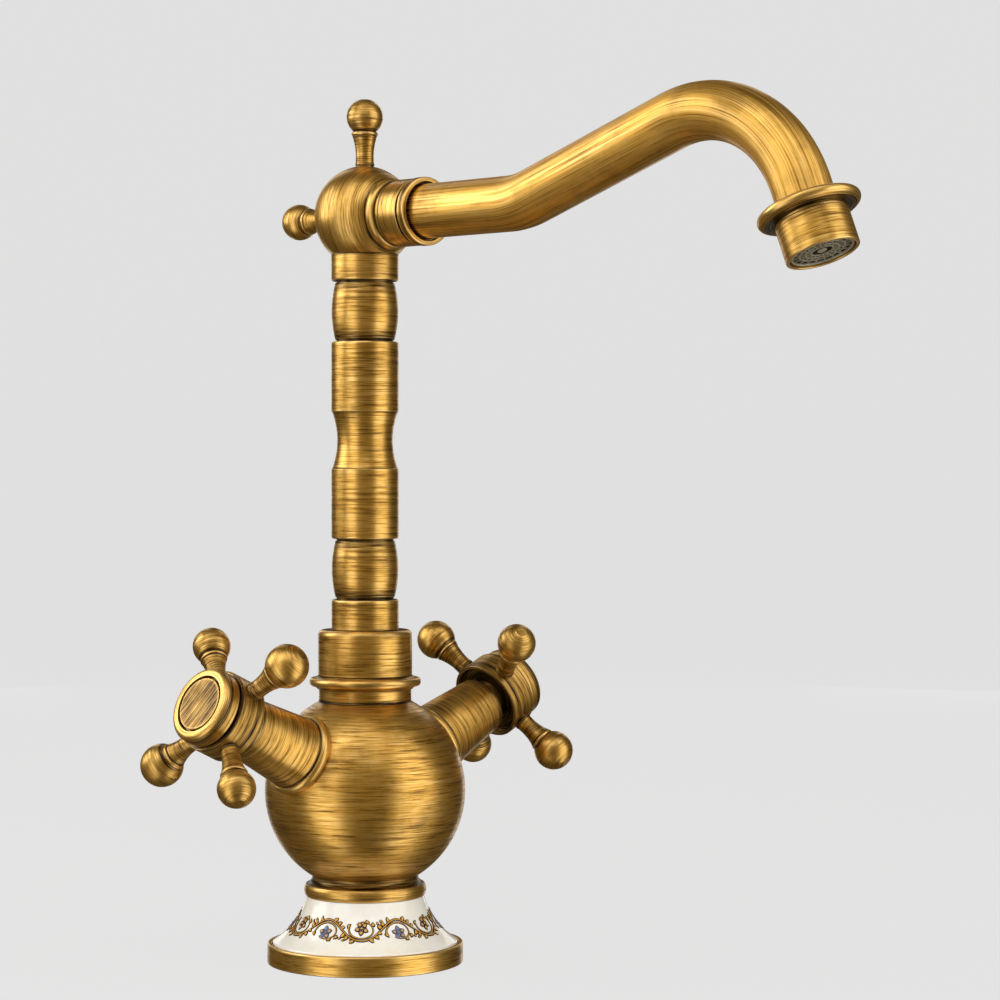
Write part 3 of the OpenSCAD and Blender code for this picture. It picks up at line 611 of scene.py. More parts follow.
class TAP_OT_body(bpy.types.Operator):
    """Ball body, neck ring, swivel nut and both valve sleeves"""
    bl_idname = "tap.body"
    bl_label = "Body"

    def execute(self, context):
        shape = context.scene.tap_shape
        axis = straight((0, 0, 0), UP)
        r, z = level("body_ball")[2], BALL.z / MM
        n0, n1, n_r = level("neck_ring")
        start, end = math.degrees(math.asin(SEAT_R / r)), math.degrees(math.asin(NECK_R / r))
        ball = arc((0, z), r, -90 + start, 90 - end, 110)
        brass("ball_body", axis, [
            (12, ball[0][1]), *ball[:-1], (NECK_R, ball[-1][1] + 0.02, 1.0), (NECK_R, n0, 0.05), (12, n0)],
            shape, ((n0, 0.5), (ball[0][1] + 0.9, 1.1)), "body", "body_ball")
        brass("neck_ring_turned", axis, [
            (14, n0), *bow((NECK_R + 0.6, n0), (n_r - 0.8, n0 + 1.1), 0.3),
            *bead(n_r, 0.8, n0 + 1.15, n0 + 3.9), *bow((n_r - 1.0, n0 + 4.0), (NECK_R + 0.5, n1), 0.3),
            (14, n1)], shape, ((n0, 0.6), (n1, 0.6)), "body", "neck_ring")
        s0, s1, s_r = level("swivel_nut")
        brass("swivel_nut_turned", axis, [
            (14.05, s0), (s_r, s0, 0.35), *arc((s_r - 1.8, s1 - 1.8), 1.8, 0, 90, 12), (10.95, s1, 0.15),
            (10.95, s1 - 2), (14.05, s1 - 2.2)], shape, ((s0, 0.5), (s1, 0.12)), "body", "swivel_nut")
        for side in ("hot", "cold"):
            centre, way = handle_axis(side)
            node = side + "_valve_sleeve"
            _, end, bead_r = span(node, centre, way)
            face = r - 3
            # the sleeve's end, tucked into the hub, is darkened as painted shade in the gap
            brass(side + "_sleeve_brushed", straight(centre, way), [
                (8.65, face - 4), (bead_r - 1.4, face - 4), *bead(bead_r, 1.4, face, face + 4),
                (12.8, face + 4.15, 0.1), (12.9, face + 4.6, 0.2), (10.5, end, 0.25), (9.4, end, 0.1),
                (9.4, end - 10), (8.65, end - 10)], shape,
                ((face - 0.2, 0.7), (face + 4.25, 0.55), (end, 2.5), (end, 20, 0.5)), "body", node)
        return {"FINISHED"}


# ---- column, head and spout --------------------------------------------------------------


class TAP_OT_column(bpy.types.Operator):
    """Column foot, barrels, waisted shaft, collar, head ball and both finials"""
    bl_idname = "tap.column"
    bl_label = "Column and head"

    def execute(self, context):
        shape = context.scene.tap_shape
        axis = straight((0, 0, 0), UP)
        nut_top = level("swivel_nut")[1]
        bore = level("column_pipe")[2]
        _, f1, _ = level("column_foot")
        b0, b1, _ = level("lower_barrel")
        h0, h1, r = level("column_shaft")
        u0, u1, _ = level("upper_barrel")
        c0, c1, _ = level("column_collar")
        f0 = nut_top + 0.05

        def piece(name, points, patina_and_shade_marks, node):
            brass(name, axis, points, shape, patina_and_shade_marks, "spout", node)

        piece("column_foot_turned", [
            (bore, nut_top - 5), (r - 1.4, nut_top - 5), (r - 1.4, f0), (r, f0, 0.3), (r, f1, 0.8), (bore, f1)],
            ((f0, 0.5), (f1, 0.3)), "column_foot")
        for name, low, high, node in (("lower_barrel_turned", b0, b1, "lower_barrel"),
                                      ("upper_barrel_turned", u0, u1, "upper_barrel")):
            groove = r - 1.8
            piece(name, [
                (bore, low), (groove, low, 0.1), (groove, low + 0.7, 0.1), (r - 1.45, low + 0.7, 0.15),
                *bow((r - 1.35, low + 1.0), (r - 1.35, high - 1.0), -1.25, 40),
                (r - 1.45, high - 0.7, 0.15), (groove, high - 0.7, 0.1), (groove, high, 0.1), (bore, high)],
                ((low + 0.35, 5.2), (high - 0.35, 5.2), (low, 40, 0.12)), node)
        mid = (h0 + h1) / 2
        w0, w1 = mid - WAIST / 2, mid + WAIST / 2
        piece("shaft_turned", [
            (bore, h0), (r, h0, 0.8), (r, w0 - 0.2, 0.15), *bow((r - 0.3, w0), (r - 0.3, w1), 1.8, 40),
            (r, w1 + 0.2, 0.15), (r, h1, 0.8), (bore, h1)],
            ((h0, 0.3), (h1, 0.3), (w0, 0.35), (w1, 0.35)), "column_shaft")
        piece("column_collar_turned", [
            (bore, c0), (r, c0, 0.8), (r, c1, 0.1), (bore, c1)], ((c0, 0.3), (c1 - 0.1, 1.2)), "column_collar")
        head_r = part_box("head_ball")[1].x / MM
        ball = arc((0, 0), head_r, -90, 90, 90)
        ball[0], ball[-1] = (0, -head_r, 0), (0, head_r, 0)
        brass("head_ball_turned", straight(HEAD, (0, -1, 0)), ball, shape, ((BEAD_START, 1.6),), "spout",
              "head_ball", closed=False)
        for name, way, node in (("top_finial_turned", (0, 0, 1), "top_finial"),
                                ("back_finial_turned", (0, 1, 0), "back_finial")):
            knob(name, HEAD, Vector(way), head_r, node, "spout", shape)
        return {"FINISHED"}


def knob(name, origin, way, root, node, body, shape, toning_and_shade=0.2):
    """A finial or handle arm: flared stem, ring and ball with a small flat on its end."""
    _, tip, knob_r = span(node, origin, way)
    reach = tip - knob_r + 0.3
    ring = reach - 5.2
    flat = math.sqrt(knob_r ** 2 - (knob_r - 0.3) ** 2)
    start = math.degrees(math.asin(4.1 / knob_r))
    brass(name, straight(origin, way), [
        (0, root - 0.9), (3.25, root - 0.9, 0.1), (3.25, root + 0.1, 0.1), (3.5, root + 0.45, 0.2),
        *bow((3.3, root + 1.0), (4.4, ring - 1.6), 0.5), (4.2, ring - 1.5, 0.1),
        *bead(4.75, 0.45, ring - 1.4, ring - 0.2, 10), (4.1, ring - 0.1, 0.1),
        *arc((0, reach), knob_r, -90 + start, 90 - math.degrees(math.asin(flat / knob_r)), 34),
        (0, tip)], shape,
        ((root + 0.2, 1.2), (ring - 1.6, 0.45), (ring + 0.25, 0.8), ((root + ring) / 2, ring - root, toning_and_shade)),
        body, node, SMALL, closed=False, facets=48)


def spout_line(shape):
    """The spout's centre line: gives a spine for places in mm from the column's axis."""
    rise, drop = math.radians(shape.rise_deg), math.radians(shape.drop_deg)
    lengths = [shape.run, shape.rise_radius * rise, shape.rise_length, shape.arch_radius * (rise + drop)]
    marks = np.cumsum(lengths)

    def slope(s):
        s = np.asarray(s, float)
        up = np.clip((s - marks[0]) / shape.rise_radius, 0, rise)
        return up - np.clip((s - marks[2]) / shape.arch_radius, 0, rise + drop)

    steps = np.arange(0, marks[3] + 60, 0.1)
    angle = slope(steps + 0.05)
    out = np.concatenate([[0], np.cumsum(np.cos(angle) * 0.1)])[:-1]
    up = np.concatenate([[0], np.cumsum(np.sin(angle) * 0.1)])[:-1]

    def spine(s):
        a = slope(s)
        centre = np.stack([np.zeros(len(s)), -np.interp(s, steps, out) * MM,
                           HEAD.z + np.interp(s, steps, up) * MM], 1)
        side = np.repeat([[1.0, 0, 0]], len(s), 0)
        way = np.stack([np.zeros(len(s)), -np.cos(a), np.sin(a)], 1)
        return centre, side, np.cross(way, side)
    return spine, marks[3]


class TAP_OT_spout(bpy.types.Operator):
    """Union bead, nut, ferrule, bent tube, outlet flange, aerator shell and its insert"""
    bl_idname = "tap.spout"
    bl_label = "Spout"

    def execute(self, context):
        shape = context.scene.tap_shape
        spine, arch_end = spout_line(shape)
        level_way = straight(HEAD, (0, -1, 0))
        tube_r = round(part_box("spout_tube")[1].x / MM, 1)
        bore = tube_r + 0.05

        def piece(name, where, points, patina_and_shade_marks, node, material=TURNED):
            brass(name, where, points, shape, patina_and_shade_marks, "spout", node, material)

        piece("union_bead_turned", level_way, [
            (9, 11.5), (11.4, 11.5), *bead(12.6, 1.2, BEAD_START, BEAD_END), (9, BEAD_END)],
            ((12.9, 0.9), (BEAD_END, 0.5)), "union_bead")
        piece("union_nut_turned", level_way, [
            (bore, NUT_START), (11.2, NUT_START, 0.1), (11.2, 19.2, 0.2), (11.8, 19.9, 0.3),
            (11.8, NUT_END, 0.4), (bore, NUT_END)], ((17.4, 0.7), (19.0, 0.7), (NUT_END, 0.4)), "union_nut")
        piece("tube_ferrule_turned", level_way, [
            (bore, NUT_END), (11, NUT_END, 0.1), (11, 29.35, 0.1), (12, 29.6, 0.3), (12, FERRULE_END, 0.5),
            (10.4, FERRULE_END, 0.2), (10.3, 31.2, 0.1), (bore, 31.2)], ((28.9, 0.7), (31.2, 1.2)),
            "tube_ferrule")
        inner = tube_r - shape.wall
        last = arch_end + shape.tail
        piece("spout_tube_drawn", spine, [
            (tube_r, TUBE_START, 0.1), *[(tube_r, s, 0) for s in np.arange(21.3, last - 0.3, 1.6)],
            (tube_r, last, 0.1), (inner, last, 0.1),
            *[(inner, s, 0) for s in np.arange(last - 0.5, 21.3, -4.0)], (inner, TUBE_START, 0.1)],
            ((32.4, 2.0), (arch_end + 5.6, 1.4)), "spout_tube", TUBE)
        end = spine(np.array([arch_end]))[0][0]
        drop = math.radians(shape.drop_deg)
        way = Vector((0, -math.cos(drop), -math.sin(drop)))
        outlet = straight(Vector(end), way)
        _, shell_end, s_r = span("aerator_shell", end, way)
        f_r = span("outlet_flange", end, way)[2]
        piece("outlet_flange_turned", outlet, [
            (tube_r + 0.03, 5.4), *bow((tube_r + 1, 5.5), (f_r - 1.8, 6.3), 0.2),
            *bead(f_r, 1.3, 6.5, 9.6), (f_r - 1.8, 10, 0.15), (s_r - 0.4, 10, 0.15), (s_r - 0.4, 11),
            (tube_r + 0.03, 11)], ((5.4, 0.5), (10.0, 0.3)), "outlet_flange")
        piece("aerator_shell_turned", outlet, [
            (s_r - 2.1, 11.1), (s_r, 11.1, 0.4), (s_r, shell_end, 0.45), (s_r - 1.2, shell_end, 0.2),
            (s_r - 1.2, 14), (s_r - 2.1, 14)], ((11.1, 0.5),), "aerator_shell")
        face = shell_end - 0.5
        back, crest, floor = face - 4.5, face - 0.5, face - 1.1
        ribs = [(0, back), (s_r - 1.7, back), (s_r - 1.7, face, 0.25), (s_r - 2.3, face, 0.2),
                (s_r - 2.5, floor, 0.1)]
        for rib in RIBS:
            ribs += [(rib + 0.34, floor, 0.05), (rib + 0.28, crest, 0.1),
                     (rib - 0.28, crest, 0.1), (rib - 0.34, floor, 0.05)]
        ribs += [(1.6, floor, 0.05), (1.5, crest, 0.2), (0, crest)]
        # the rib floors and the back of the insert are darkened with grime and painted shade
        finish(turned("aerator_face", outlet, ribs, shape, closed=False, patina_and_shade_marks=((floor, 0.5), (back, 2.0))),
               "spout", "aerator_steel", AERATOR, "aerator_insert")
        vanes = repeated("aerator_vanes", vane(face), context.scene.tap_scroll.vanes, Vector(end), way)
        finish(vanes, "spout", "aerator_steel", None)
        return {"FINISHED"}


def vane(face):
    """One thin radial vane of the aerator insert, at its place round the outlet's own Z axis."""
    mesh = bpy.data.meshes.new("vane")
    co = [(r, w, z) for r in VANE for z in (face - 1.2, face - 0.55) for w in (-0.2, 0.2)]
    mesh.from_pydata([tuple(c * MM for c in p) for p in co], [],
                     [(0, 2, 3, 1), (4, 5, 7, 6), (0, 1, 5, 4), (2, 6, 7, 3), (0, 4, 6, 2), (1, 3, 7, 5)])
    piece = placed("vane", mesh)
    piece["finish"] = AERATOR
    return piece


def repeated(name, motif, count, origin, way):
    """Geometry Nodes turn copies of a motif round an axis; the result is one plain mesh."""
    tree = bpy.data.node_groups.new(name, "GeometryNodeTree")
    sockets = {}
    for label, kind in (("Motif", "NodeSocketObject"), ("Count", "NodeSocketInt"),
                        ("Finish", "NodeSocketMaterial")):
        sockets[label] = tree.interface.new_socket(label, in_out="INPUT", socket_type=kind).identifier
    tree.interface.new_socket("Geometry", in_out="OUTPUT", socket_type="NodeSocketGeometry")
    given = add(tree, "NodeGroupInput")
    turn = add(tree, "ShaderNodeMath", {0: math.tau, 1: given.outputs["Count"]}, operation="DIVIDE")
    index = add(tree, "GeometryNodeInputIndex")
    angle = add(tree, "ShaderNodeMath", {0: index.outputs[0], 1: turn.outputs[0]}, operation="MULTIPLY")
    spin = add(tree, "ShaderNodeCombineXYZ", {"Z": angle.outputs[0]})
    line = add(tree, "GeometryNodeMeshLine", {"Count": given.outputs["Count"], "Offset": (0, 0, 0)})
    info = add(tree, "GeometryNodeObjectInfo", {"Object": given.outputs["Motif"]})
    copies = add(tree, "GeometryNodeInstanceOnPoints", {
        "Points": line.outputs[0], "Instance": info.outputs["Geometry"], "Rotation": spin.outputs[0]})
    real = add(tree, "GeometryNodeRealizeInstances", {"Geometry": copies.outputs[0]})
    skin = add(tree, "GeometryNodeSetMaterial", {
        "Geometry": real.outputs[0], "Material": given.outputs["Finish"]})
    add(tree, "NodeGroupOutput", {"Geometry": skin.outputs[0]})
    holder = placed(name, bpy.data.meshes.new(name))
    modifier = holder.modifiers.new("copies", "NODES")
    modifier.node_group = tree
    modifier[sockets["Motif"]] = motif
    modifier[sockets["Count"]] = count
    modifier[sockets["Finish"]] = bpy.data.materials[motif["finish"]]
    ready = holder.evaluated_get(bpy.context.evaluated_depsgraph_get())
    mesh = bpy.data.meshes.new_from_object(ready)
    holder.modifiers.clear()
    if not len(mesh.polygons):
        raise RuntimeError(name + ": the copies came out empty")
    way = Vector(way).normalized()
    mesh.transform(Matrix.Translation(Vector(origin)) @ way.to_track_quat("Z", "Y").to_matrix().to_4x4())
    old, holder.data = holder.data, mesh
    mesh.name = name
    bpy.data.meshes.remove(old)
    bpy.data.objects.remove(motif)
    return holder


# ---- scroll band -------------------------------------------------------------------------


# across, height and crest of a raised line: brown at its foot, gold along its middle
PROFILE = ((1, -0.12, 0), (0.95, 0.35, 0), (0.42, 0.75, 0.05), (0.22, 0.85, 0.8), (-0.22, 0.85, 0.8),
           (-0.42, 0.75, 0.05), (-0.95, 0.35, 0), (-1, -0.12, 0))


class Relief:
    """Collects raised shapes drawn flat (mm along and up the slope) as one mesh on the foot."""

    def __init__(self, slope, middle_s, radius):
        self.co, self.faces, self.crest, self.tint = [], [], [], []
        self.line = np.array([p[:2] for p in slope])
        gaps = np.linalg.norm(np.diff(self.line, axis=0), axis=1)
        self.length = np.concatenate([[0], np.cumsum(gaps)])
        self.middle, self.radius = middle_s, radius

    def point(self, u, v, h, crest, tint):
        """A vertex u mm round and v mm up the slope, raised by h: gives its index."""
        s = self.middle + v
        r, z = (np.interp(s, self.length, self.line[:, k]) for k in (0, 1))
        r2, z2 = (np.interp(s + 0.3, self.length, self.line[:, k]) for k in (0, 1))
        normal = np.array([z2 - z, r - r2])
        normal /= np.linalg.norm(normal)
        a, r, z = u / self.radius, r + normal[0] * h, z + normal[1] * h
        self.co.append((r * math.cos(a) * MM, r * math.sin(a) * MM, z * MM))
        self.crest.append(crest)
        self.tint.append(tint)
        return len(self.co) - 1

    def ribbon(self, path, widths, height, tint=0.0):
        """A raised line along a path, with the width given at each of its points."""
        path = np.array(path, float)
        tangent = np.gradient(path, axis=0)
        tangent /= np.maximum(np.linalg.norm(tangent, axis=1), 1e-9)[:, None]
        left = np.stack([-tangent[:, 1], tangent[:, 0]], 1)
        rows = []
        for p, n, w in zip(path, left, widths):
            row = []
            for across, h, crest in PROFILE:
                q = p + n * w / 2 * across
                row.append(self.point(q[0], q[1], h * height if h > 0 else h, crest, tint))
            rows.append(row)
        self.between(rows)
        self.faces += [tuple(reversed(rows[0])), tuple(rows[-1])]

    def between(self, rings):
        """Faces between each closed ring of vertices and the next."""
        for low, high in zip(rings, rings[1:]):
            for k in range(len(low)):
                after = (k + 1) % len(low)
                self.faces.append((low[k], low[after], high[after], high[k]))

    def lobe(self, tip, root, width, height, tint=0.0, lean=0.0, count=9):
        """A leaf or petal from root to tip, widest past its middle, with a soft crest."""
        root, tip = np.array(root, float), np.array(tip, float)
        way = tip - root
        side = np.array([-way[1], way[0]]) / np.linalg.norm(way)
        ring = []
        for t in np.linspace(0, 1, count):
            half = width / 2 * math.sin(math.pi * t ** 0.8) ** 0.8
            ring.append((root + way * t + side * lean * math.sin(math.pi * t), half))
        left = [m + side * h for m, h in ring]
        right = [m - side * h for m, h in ring[1:-1]][::-1]
        self.dome(left + right, height, tint)

    def dome(self, edge, height, tint=0.0):
        """A low dome over a closed edge, with the gold on its top."""
        edge = [np.array(p, float) for p in edge]
        centre = sum(edge) / len(edge)
        n = len(edge)
        area = sum(a[0] * b[1] - b[0] * a[1] for a, b in zip(edge, edge[1:] + edge[:1]))
        if area < 0:
            edge.reverse()
        rings = []
        for scale, h, crest in ((1.0, -0.12, 0.0), (0.97, 0.3 * height, 0.0), (0.68, 0.7 * height, 0.1),
                                 (0.5, 0.85 * height, 0.75)):
            rings.append([self.point(*(centre + (p - centre) * scale), h, crest, tint) for p in edge])
        self.between(rings)
        top = self.point(*centre, height, 1.0, tint)
        bottom = self.point(*centre, -0.12, 0, tint)
        for k in range(n):
            self.faces.append((rings[-1][k], rings[-1][(k + 1) % n], top))
            self.faces.append((rings[0][(k + 1) % n], rings[0][k], bottom))

    def bead(self, centre, radius, height, tint=0.0):
        """A small round dome."""
        self.dome([np.array(centre) + radius * np.array([math.cos(a), math.sin(a)])
                   for a in np.linspace(0, math.tau, 8, endpoint=False)], height, tint)

    def flower(self, centre, radius, height, turn=0.0, blue=0.0):
        """Five petals round a small dome; blue is how much of the petal wash it takes."""
        for k in range(5):
            a = turn + k * math.tau / 5
            way = np.array([math.cos(a), math.sin(a)])
            self.lobe(centre + way * radius, centre + way * radius * 0.18,
                      radius * 0.72, height, blue if k % 2 else blue * 0.4)
        self.bead(centre, radius * 0.26, height * 1.35, blue)

    def finished(self, name, material):
        mesh = bpy.data.meshes.new(name)
        mesh.from_pydata(self.co, [], self.faces)
        for key, values in (("crest", self.crest), ("tint", self.tint)):
            mesh.attributes.new(key, "FLOAT", "POINT").data.foreach_set("value", values)
        mesh.validate()
        mesh.shade_smooth()
        piece = placed(name, mesh)
        piece["finish"] = material
        return piece


class TAP_OT_scroll(bpy.types.Operator):
    """Raised gilt scroll of vines, leaves and flowers round the glazed foot"""
    bl_idname = "tap.scroll"
    bl_label = "Scroll band"

    def execute(self, context):
        made = context.scene.tap_scroll
        period = math.tau * SCROLL_R / made.repeats
        art = Relief(foot_slope(60), SCROLL_MIDDLE, SCROLL_R)
        w, h = made.vine, made.relief
        u = np.linspace(0, period, 56)
        art.ribbon([(x, SCROLL_SWING * math.sin(math.tau * x / period)) for x in u], [w] * len(u), h)
        for start, sign in ((0.0, 1), (period / 2, -1)):
            def put(x, y):
                return np.array((start + x * period, y * sign))

            # a curl that leaves the vine, winds under its crest and ends in a flower
            curl = []
            for t in np.linspace(0, 1, 26):
                a = math.radians(196 - 330 * t)
                reach = (5.1 - 2.2 * t) * (1.08 - 0.08 * math.cos(math.tau * t))
                curl.append(put(0.25 + reach * math.cos(a) / period, -0.9 + reach * 0.78 * math.sin(a)))
            art.ribbon(curl, np.linspace(w * 0.95, w * 0.55, len(curl)), h * 0.9)
            art.flower(put(0.25, -1.0), 2.9, h * 1.1, 0.4 + start, 0.9 if sign > 0 else 0.1)
            # leaves: root, way to the tip and width
            for x, y, dx, dy, wide in (
                    (0.03, 0.4, -0.05, 2.2, 1.1), (0.06, 1.3, -0.02, 2.4, 1.0), (0.16, 3.2, -0.05, 1.5, 0.95),
                    (0.34, 3.0, 0.05, 1.6, 0.95), (0.41, 1.9, 0.055, 1.3, 1.0), (0.455, 0.9, 0.06, 0.4, 0.9),
                    (0.05, -1.0, 0.045, -1.6, 0.9), (0.43, -1.6, -0.03, -1.7, 0.95),
                    (0.36, -2.9, -0.05, -1.3, 0.9)):
                art.lobe(put(x + dx * 1.15, y + dy * 1.15), put(x, y), wide * 1.8, h, 0.0, 0.25)
            for x, y in ((0.12, 4.6), (0.385, 4.3), (0.47, -3.0), (0.02, 3.7)):
                art.bead(put(x, y), 0.6, h)
            for stalk in (((0.1, 2.2), (0.105, 3.1), (0.115, 3.9), (0.12, 4.5)),
                          ((0.39, 2.3), (0.395, 3.0), (0.39, 3.7), (0.385, 4.2))):
                art.ribbon([put(*p) for p in stalk], [w * 0.6] * 4, h * 0.8)
        motif = art.finished("scroll_motif", GILT)
        band = repeated("gilt_scroll", motif, made.repeats, (0, 0, 0), UP)
        finish(band, "body", "glazed_foot", None)
        return {"FINISHED"}


# ---- handles -----------------------------------------------------------------------------


class TAP_OT_handles(bpy.types.Operator):
    """Hub, bezel, index disc and four knobbed arms of each cross handle"""
    bl_idname = "tap.handles"
    bl_label = "Cross handles"

    def execute(self, context):
        shape = context.scene.tap_shape
        for side in ("hot", "cold"):
            centre, way = handle_axis(side)
            axis = straight(centre, way)
            body = side + "_handle"
            low, high, r = span(side + "_hub", centre, way)
            # the hub's rear rim is darkened as painted shade in the gap round the sleeve
            brass(side + "_hub_turned", axis, [
                (3.5, low + 1), (6, low + 1), (6, low + 2.4), (r - 1.2, low + 2.4), (r - 1.2, low, 0.2),
                (r, low, 0.35), (r, high, 0.3), (3.5, high)], shape,
                ((high, 0.9), (low + 2.4, 0.6), (low, 1.2, 0.6), ((low + high) / 2, 12, 0.55)),
                body, side + "_hub")
            b0 = span(side + "_bezel", centre, way)[0]
            face = b0 + 7
            brass(side + "_bezel_turned", axis, [
                (6, b0), (r - 1.9, b0), (r - 1.9, b0 + 0.5, 0.1), (r - 1.1, b0 + 0.7, 0.35),
                *arc((r - 3.2, face - 2.3), 2.1, 0, 90, 12), (10.2, face - 0.2, 0.15), (10.2, face - 2, 0.1),
                (9.4, face - 2, 0.1), (9.4, face - 3.4, 0.1), (6, face - 3.4)], shape,
                ((b0 + 0.2, 0.8), (b0 + 2.5, 4, 0.25), (face - 2.2, 1.8)), body, side + "_bezel")
            brass(side + "_disc_brushed", axis, [
                (0, face - 2.6), (DISC_R, face - 2.6), (DISC_R, face - 0.3, 0.3), (0, face - 0.3)], shape,
                ((face - 2.6, 1.6),), body, side + "_button", DISC, closed=False)
            for k in "1234":
                node = side + "_arm_" + k
                hub_middle = centre + way * ((low + high) / 2 * MM)
                out = middle(node) - hub_middle
                out -= way * out.dot(way)
                knob(node + "_turned", hub_middle, out.normalized(), r, node, body, shape, 0.6)
        return {"FINISHED"}


class TAP_OT_inside(bpy.types.Operator):
    """Finishes of the pieces that keep their own shape, from seals to cartridges"""
    bl_idname = "tap.inside"
    bl_label = "Seals, pipes and valves"

    def execute(self, context):
        slots = {row["node"]: row["material_slot"] for row in frame["record"]["subparts"]}
        finishes = {"antique_brass": PAINTED_SHADE_BRASS, "plain_brass": "machined brass",
                    "glazed_foot": GLAZED, "valve_ceramic": "lapped ceramic",
                    "black_rubber": "nitrile rubber", "acetal": "moulded acetal",
                    "aerator_steel": AERATOR, "screw_steel": "plated steel"}
        # leftover brass nodes inside, and the spindles and cartridges seen only through gaps, take the dark brass
        # as painted shade
        shade_painted_nodes = ("spindle", "cartridge")
        for node, piece in frame["nodes"].items():
            name = PAINTED_SHADE_BRASS if node.endswith(shade_painted_nodes) else finishes[slots[node]]
            piece.data.materials.clear()
            piece.data.materials.append(bpy.data.materials[name])
        return {"FINISHED"}


# ---- stage -------------------------------------------------------------------------------


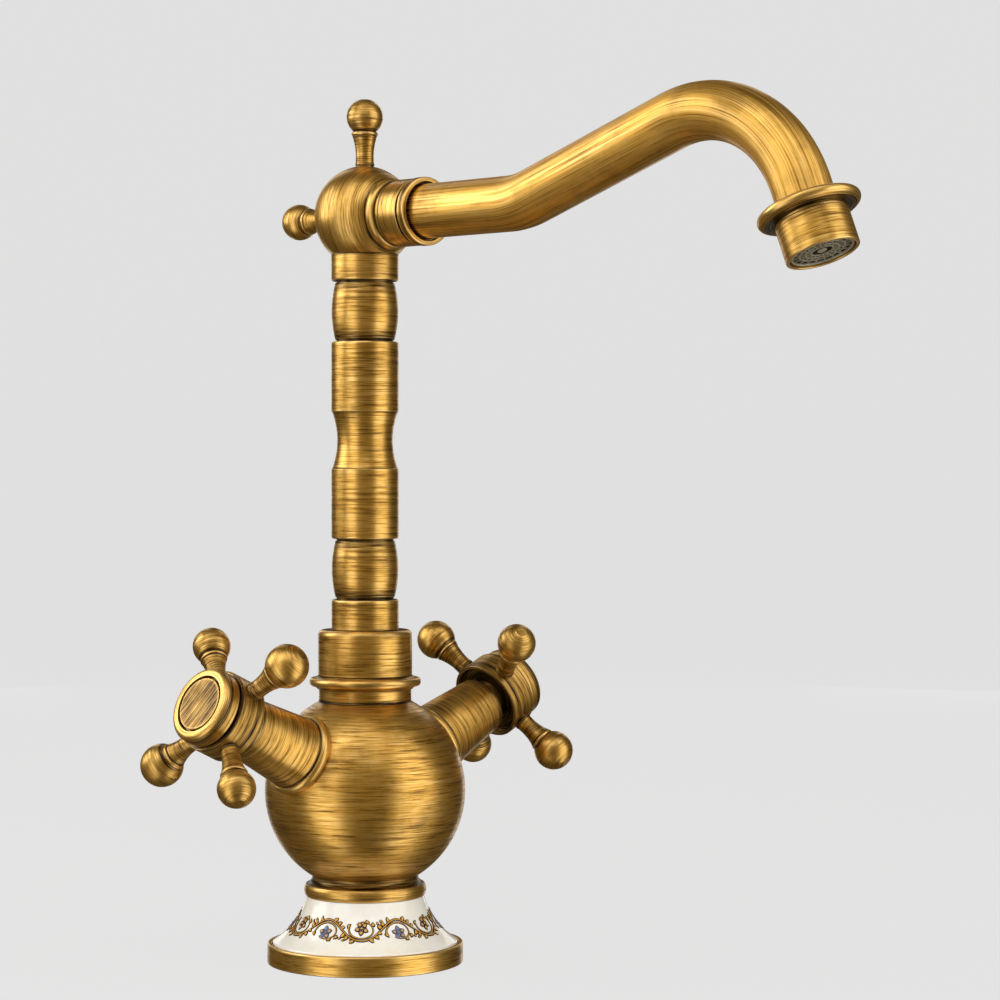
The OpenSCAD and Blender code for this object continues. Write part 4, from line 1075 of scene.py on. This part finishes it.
class TAP_OT_stage(bpy.types.Operator):
    """Pale floor with a round cove, soft boxes and panels round it, a dim room and the camera"""
    bl_idname = "tap.stage"
    bl_label = "Stage"

    def execute(self, context):
        stage = context.scene.tap_stage
        turn = math.radians(CAMERA_TURN)
        right = Vector((math.cos(turn), math.sin(turn), 0))
        back = Vector((math.sin(turn), -math.cos(turn), 0))
        camera = placed("camera", bpy.data.cameras.new("camera"))
        camera.data.sensor_width = 36
        camera.data.lens = CAMERA_LENS
        camera.data.clip_start = 0.01
        aside, away, height = CAMERA_PLACE
        camera.location = right * aside + back * away + UP * height
        camera.rotation_euler = (math.radians(90 - CAMERA_TIP), 0, turn)
        context.scene.camera = camera
        self.floor(stage)
        key, warm, white = stage.key, (1.0, 0.8, 0.45), (1.0, 0.985, 0.96)
        # degrees round from the camera; distance, height, width and tall in m; brightness; colour
        for name, angle, away, height, width, tall, strength, tone in (
                ("left_soft_box", -stage.left_deg, 1.1, 0.15, 0.66, 4.0, key, white),
                ("right_soft_box", stage.right_deg, 1.1, 0.15, 0.95, 4.0, key, white),
                ("side_box", -95.0, 0.9, 0.58, 0.6, 0.75, key * 2.1, white),
                ("top_box", -10.0, 0.7, 1.25, 1.3, 1.1, key * 0.75, white),
                ("left_rear_box", -161.0, 1.2, 0.4, 0.25, 1.6, key * 0.8, white),
                ("right_rear_box", 161.0, 1.2, 0.4, 0.25, 1.6, key * 0.8, white),
                ("front_fill", 0.0, 1.7, 0.2, 2.2, 3.0, stage.fill, warm),
                ("foot_wash", 0.0, 1.5, 0.7, 1.5, 1.5, stage.wash, (0.82, 0.92, 1.0))):
            a = math.radians(angle)
            way = back * math.cos(a) + right * math.sin(a)
            piece = self.box(name, way * away + UP * height, width, tall, strength, tone)
            piece.visible_glossy = name != "foot_wash"
        world = bpy.data.worlds.new("room")
        world.use_nodes = True
        glow = world.node_tree.nodes["Background"]
        glow.inputs["Color"].default_value = (*warm, 1)
        glow.inputs["Strength"].default_value = stage.room
        context.scene.world = world
        context.scene.view_settings.view_transform = "Standard"
        return {"FINISHED"}

    def box(self, name, place, width, tall, strength, tone):
        """A soft box that faces the column; strength is the brightness of its face."""
        light = bpy.data.lights.new(name, "AREA")
        light.shape = "RECTANGLE"
        light.size, light.size_y = width, tall
        light.energy = strength * math.pi * width * tall
        light.color = tone
        piece = placed(name, light)
        piece.location = place
        piece.rotation_euler = (place - UP * 0.15).to_track_quat("Z", "Y").to_euler()
        piece.visible_camera = False
        return piece

    def floor(self, stage):
        """A floor disc that curves up into a round wall, lit evenly so that it stays plain."""
        flat, cove, wall_top, n = 2.2, 1.2, 3.2, 96
        line = [(0, 0), (0.15, 0), (0.5, 0), (1.2, 0), (flat, 0)]
        line += [(flat + cove * math.sin(a), cove - cove * math.cos(a))
                 for a in np.linspace(0.1, math.pi / 2, 14)]
        line += [(flat + cove, wall_top)]
        co, faces = [(0, 0, 0)], []
        for r, z in line[1:]:
            co += [(r * math.cos(k * math.tau / n), r * math.sin(k * math.tau / n), z) for k in range(n)]
        for k in range(n):
            faces.append((0, 1 + k, 1 + (k + 1) % n))
        for i in range(len(line) - 2):
            for k in range(n):
                a, b = 1 + i * n + k, 1 + i * n + (k + 1) % n
                faces.append((a, a + n, b + n, b))
        mesh = bpy.data.meshes.new("floor")
        mesh.from_pydata(co, [], faces)
        mesh.shade_smooth()
        piece = placed("floor", mesh)
        tree = surface("matt paper")
        # pale matt paper: mostly its own even tone, with a little light and shade on it
        tone = add(tree, "ShaderNodeEmission", {"Color": (*stage.floor, 1), "Strength": 1.03})
        paper = add(tree, "ShaderNodeBsdfDiffuse", {"Color": (*stage.floor, 1)})
        mixed = add(tree, "ShaderNodeMixShader", {"Fac": 0.06, 1: tone.outputs[0], 2: paper.outputs[0]})
        add(tree, "ShaderNodeOutputMaterial", {"Surface": mixed.outputs[0]})
        mesh.materials.append(bpy.data.materials["matt paper"])
        piece.visible_glossy = piece.visible_diffuse = piece.visible_shadow = False


OPERATORS = (TAP_OT_finishes, TAP_OT_inside, TAP_OT_foot, TAP_OT_scroll, TAP_OT_body, TAP_OT_column,
             TAP_OT_spout, TAP_OT_handles, TAP_OT_stage)
GROUPS = {"tap_shape": TapShape, "tap_finish": TapFinish, "tap_scroll": TapScroll, "tap_stage": TapStage}


class TAP_PT_panel(bpy.types.Panel):
    """Sizes, colours and build steps of the tap"""
    bl_idname = "TAP_PT_panel"
    bl_label = "Swivel mixer tap"
    bl_space_type = "VIEW_3D"
    bl_region_type = "UI"
    bl_category = "Tap"

    def draw(self, context):
        for name in GROUPS:
            box = self.layout.box()
            for key in GROUPS[name].__annotations__:
                box.prop(getattr(context.scene, name), key)
        for operator in OPERATORS:
            self.layout.operator(operator.bl_idname)


def register():
    for name, group in GROUPS.items():
        bpy.utils.register_class(group)
        setattr(bpy.types.Scene, name, bpy.props.PointerProperty(type=group))
    for kind in (*OPERATORS, TAP_PT_panel):
        bpy.utils.register_class(kind)


def unregister():
    for kind in reversed((*OPERATORS, TAP_PT_panel)):
        bpy.utils.unregister_class(kind)
    for name, group in GROUPS.items():
        delattr(bpy.types.Scene, name)
        bpy.utils.unregister_class(group)


def main():
    register()
    for operator in OPERATORS:
        group, _, step = operator.bl_idname.partition(".")
        getattr(getattr(bpy.ops, group), step)()


if __name__ == "__main__":
    main()
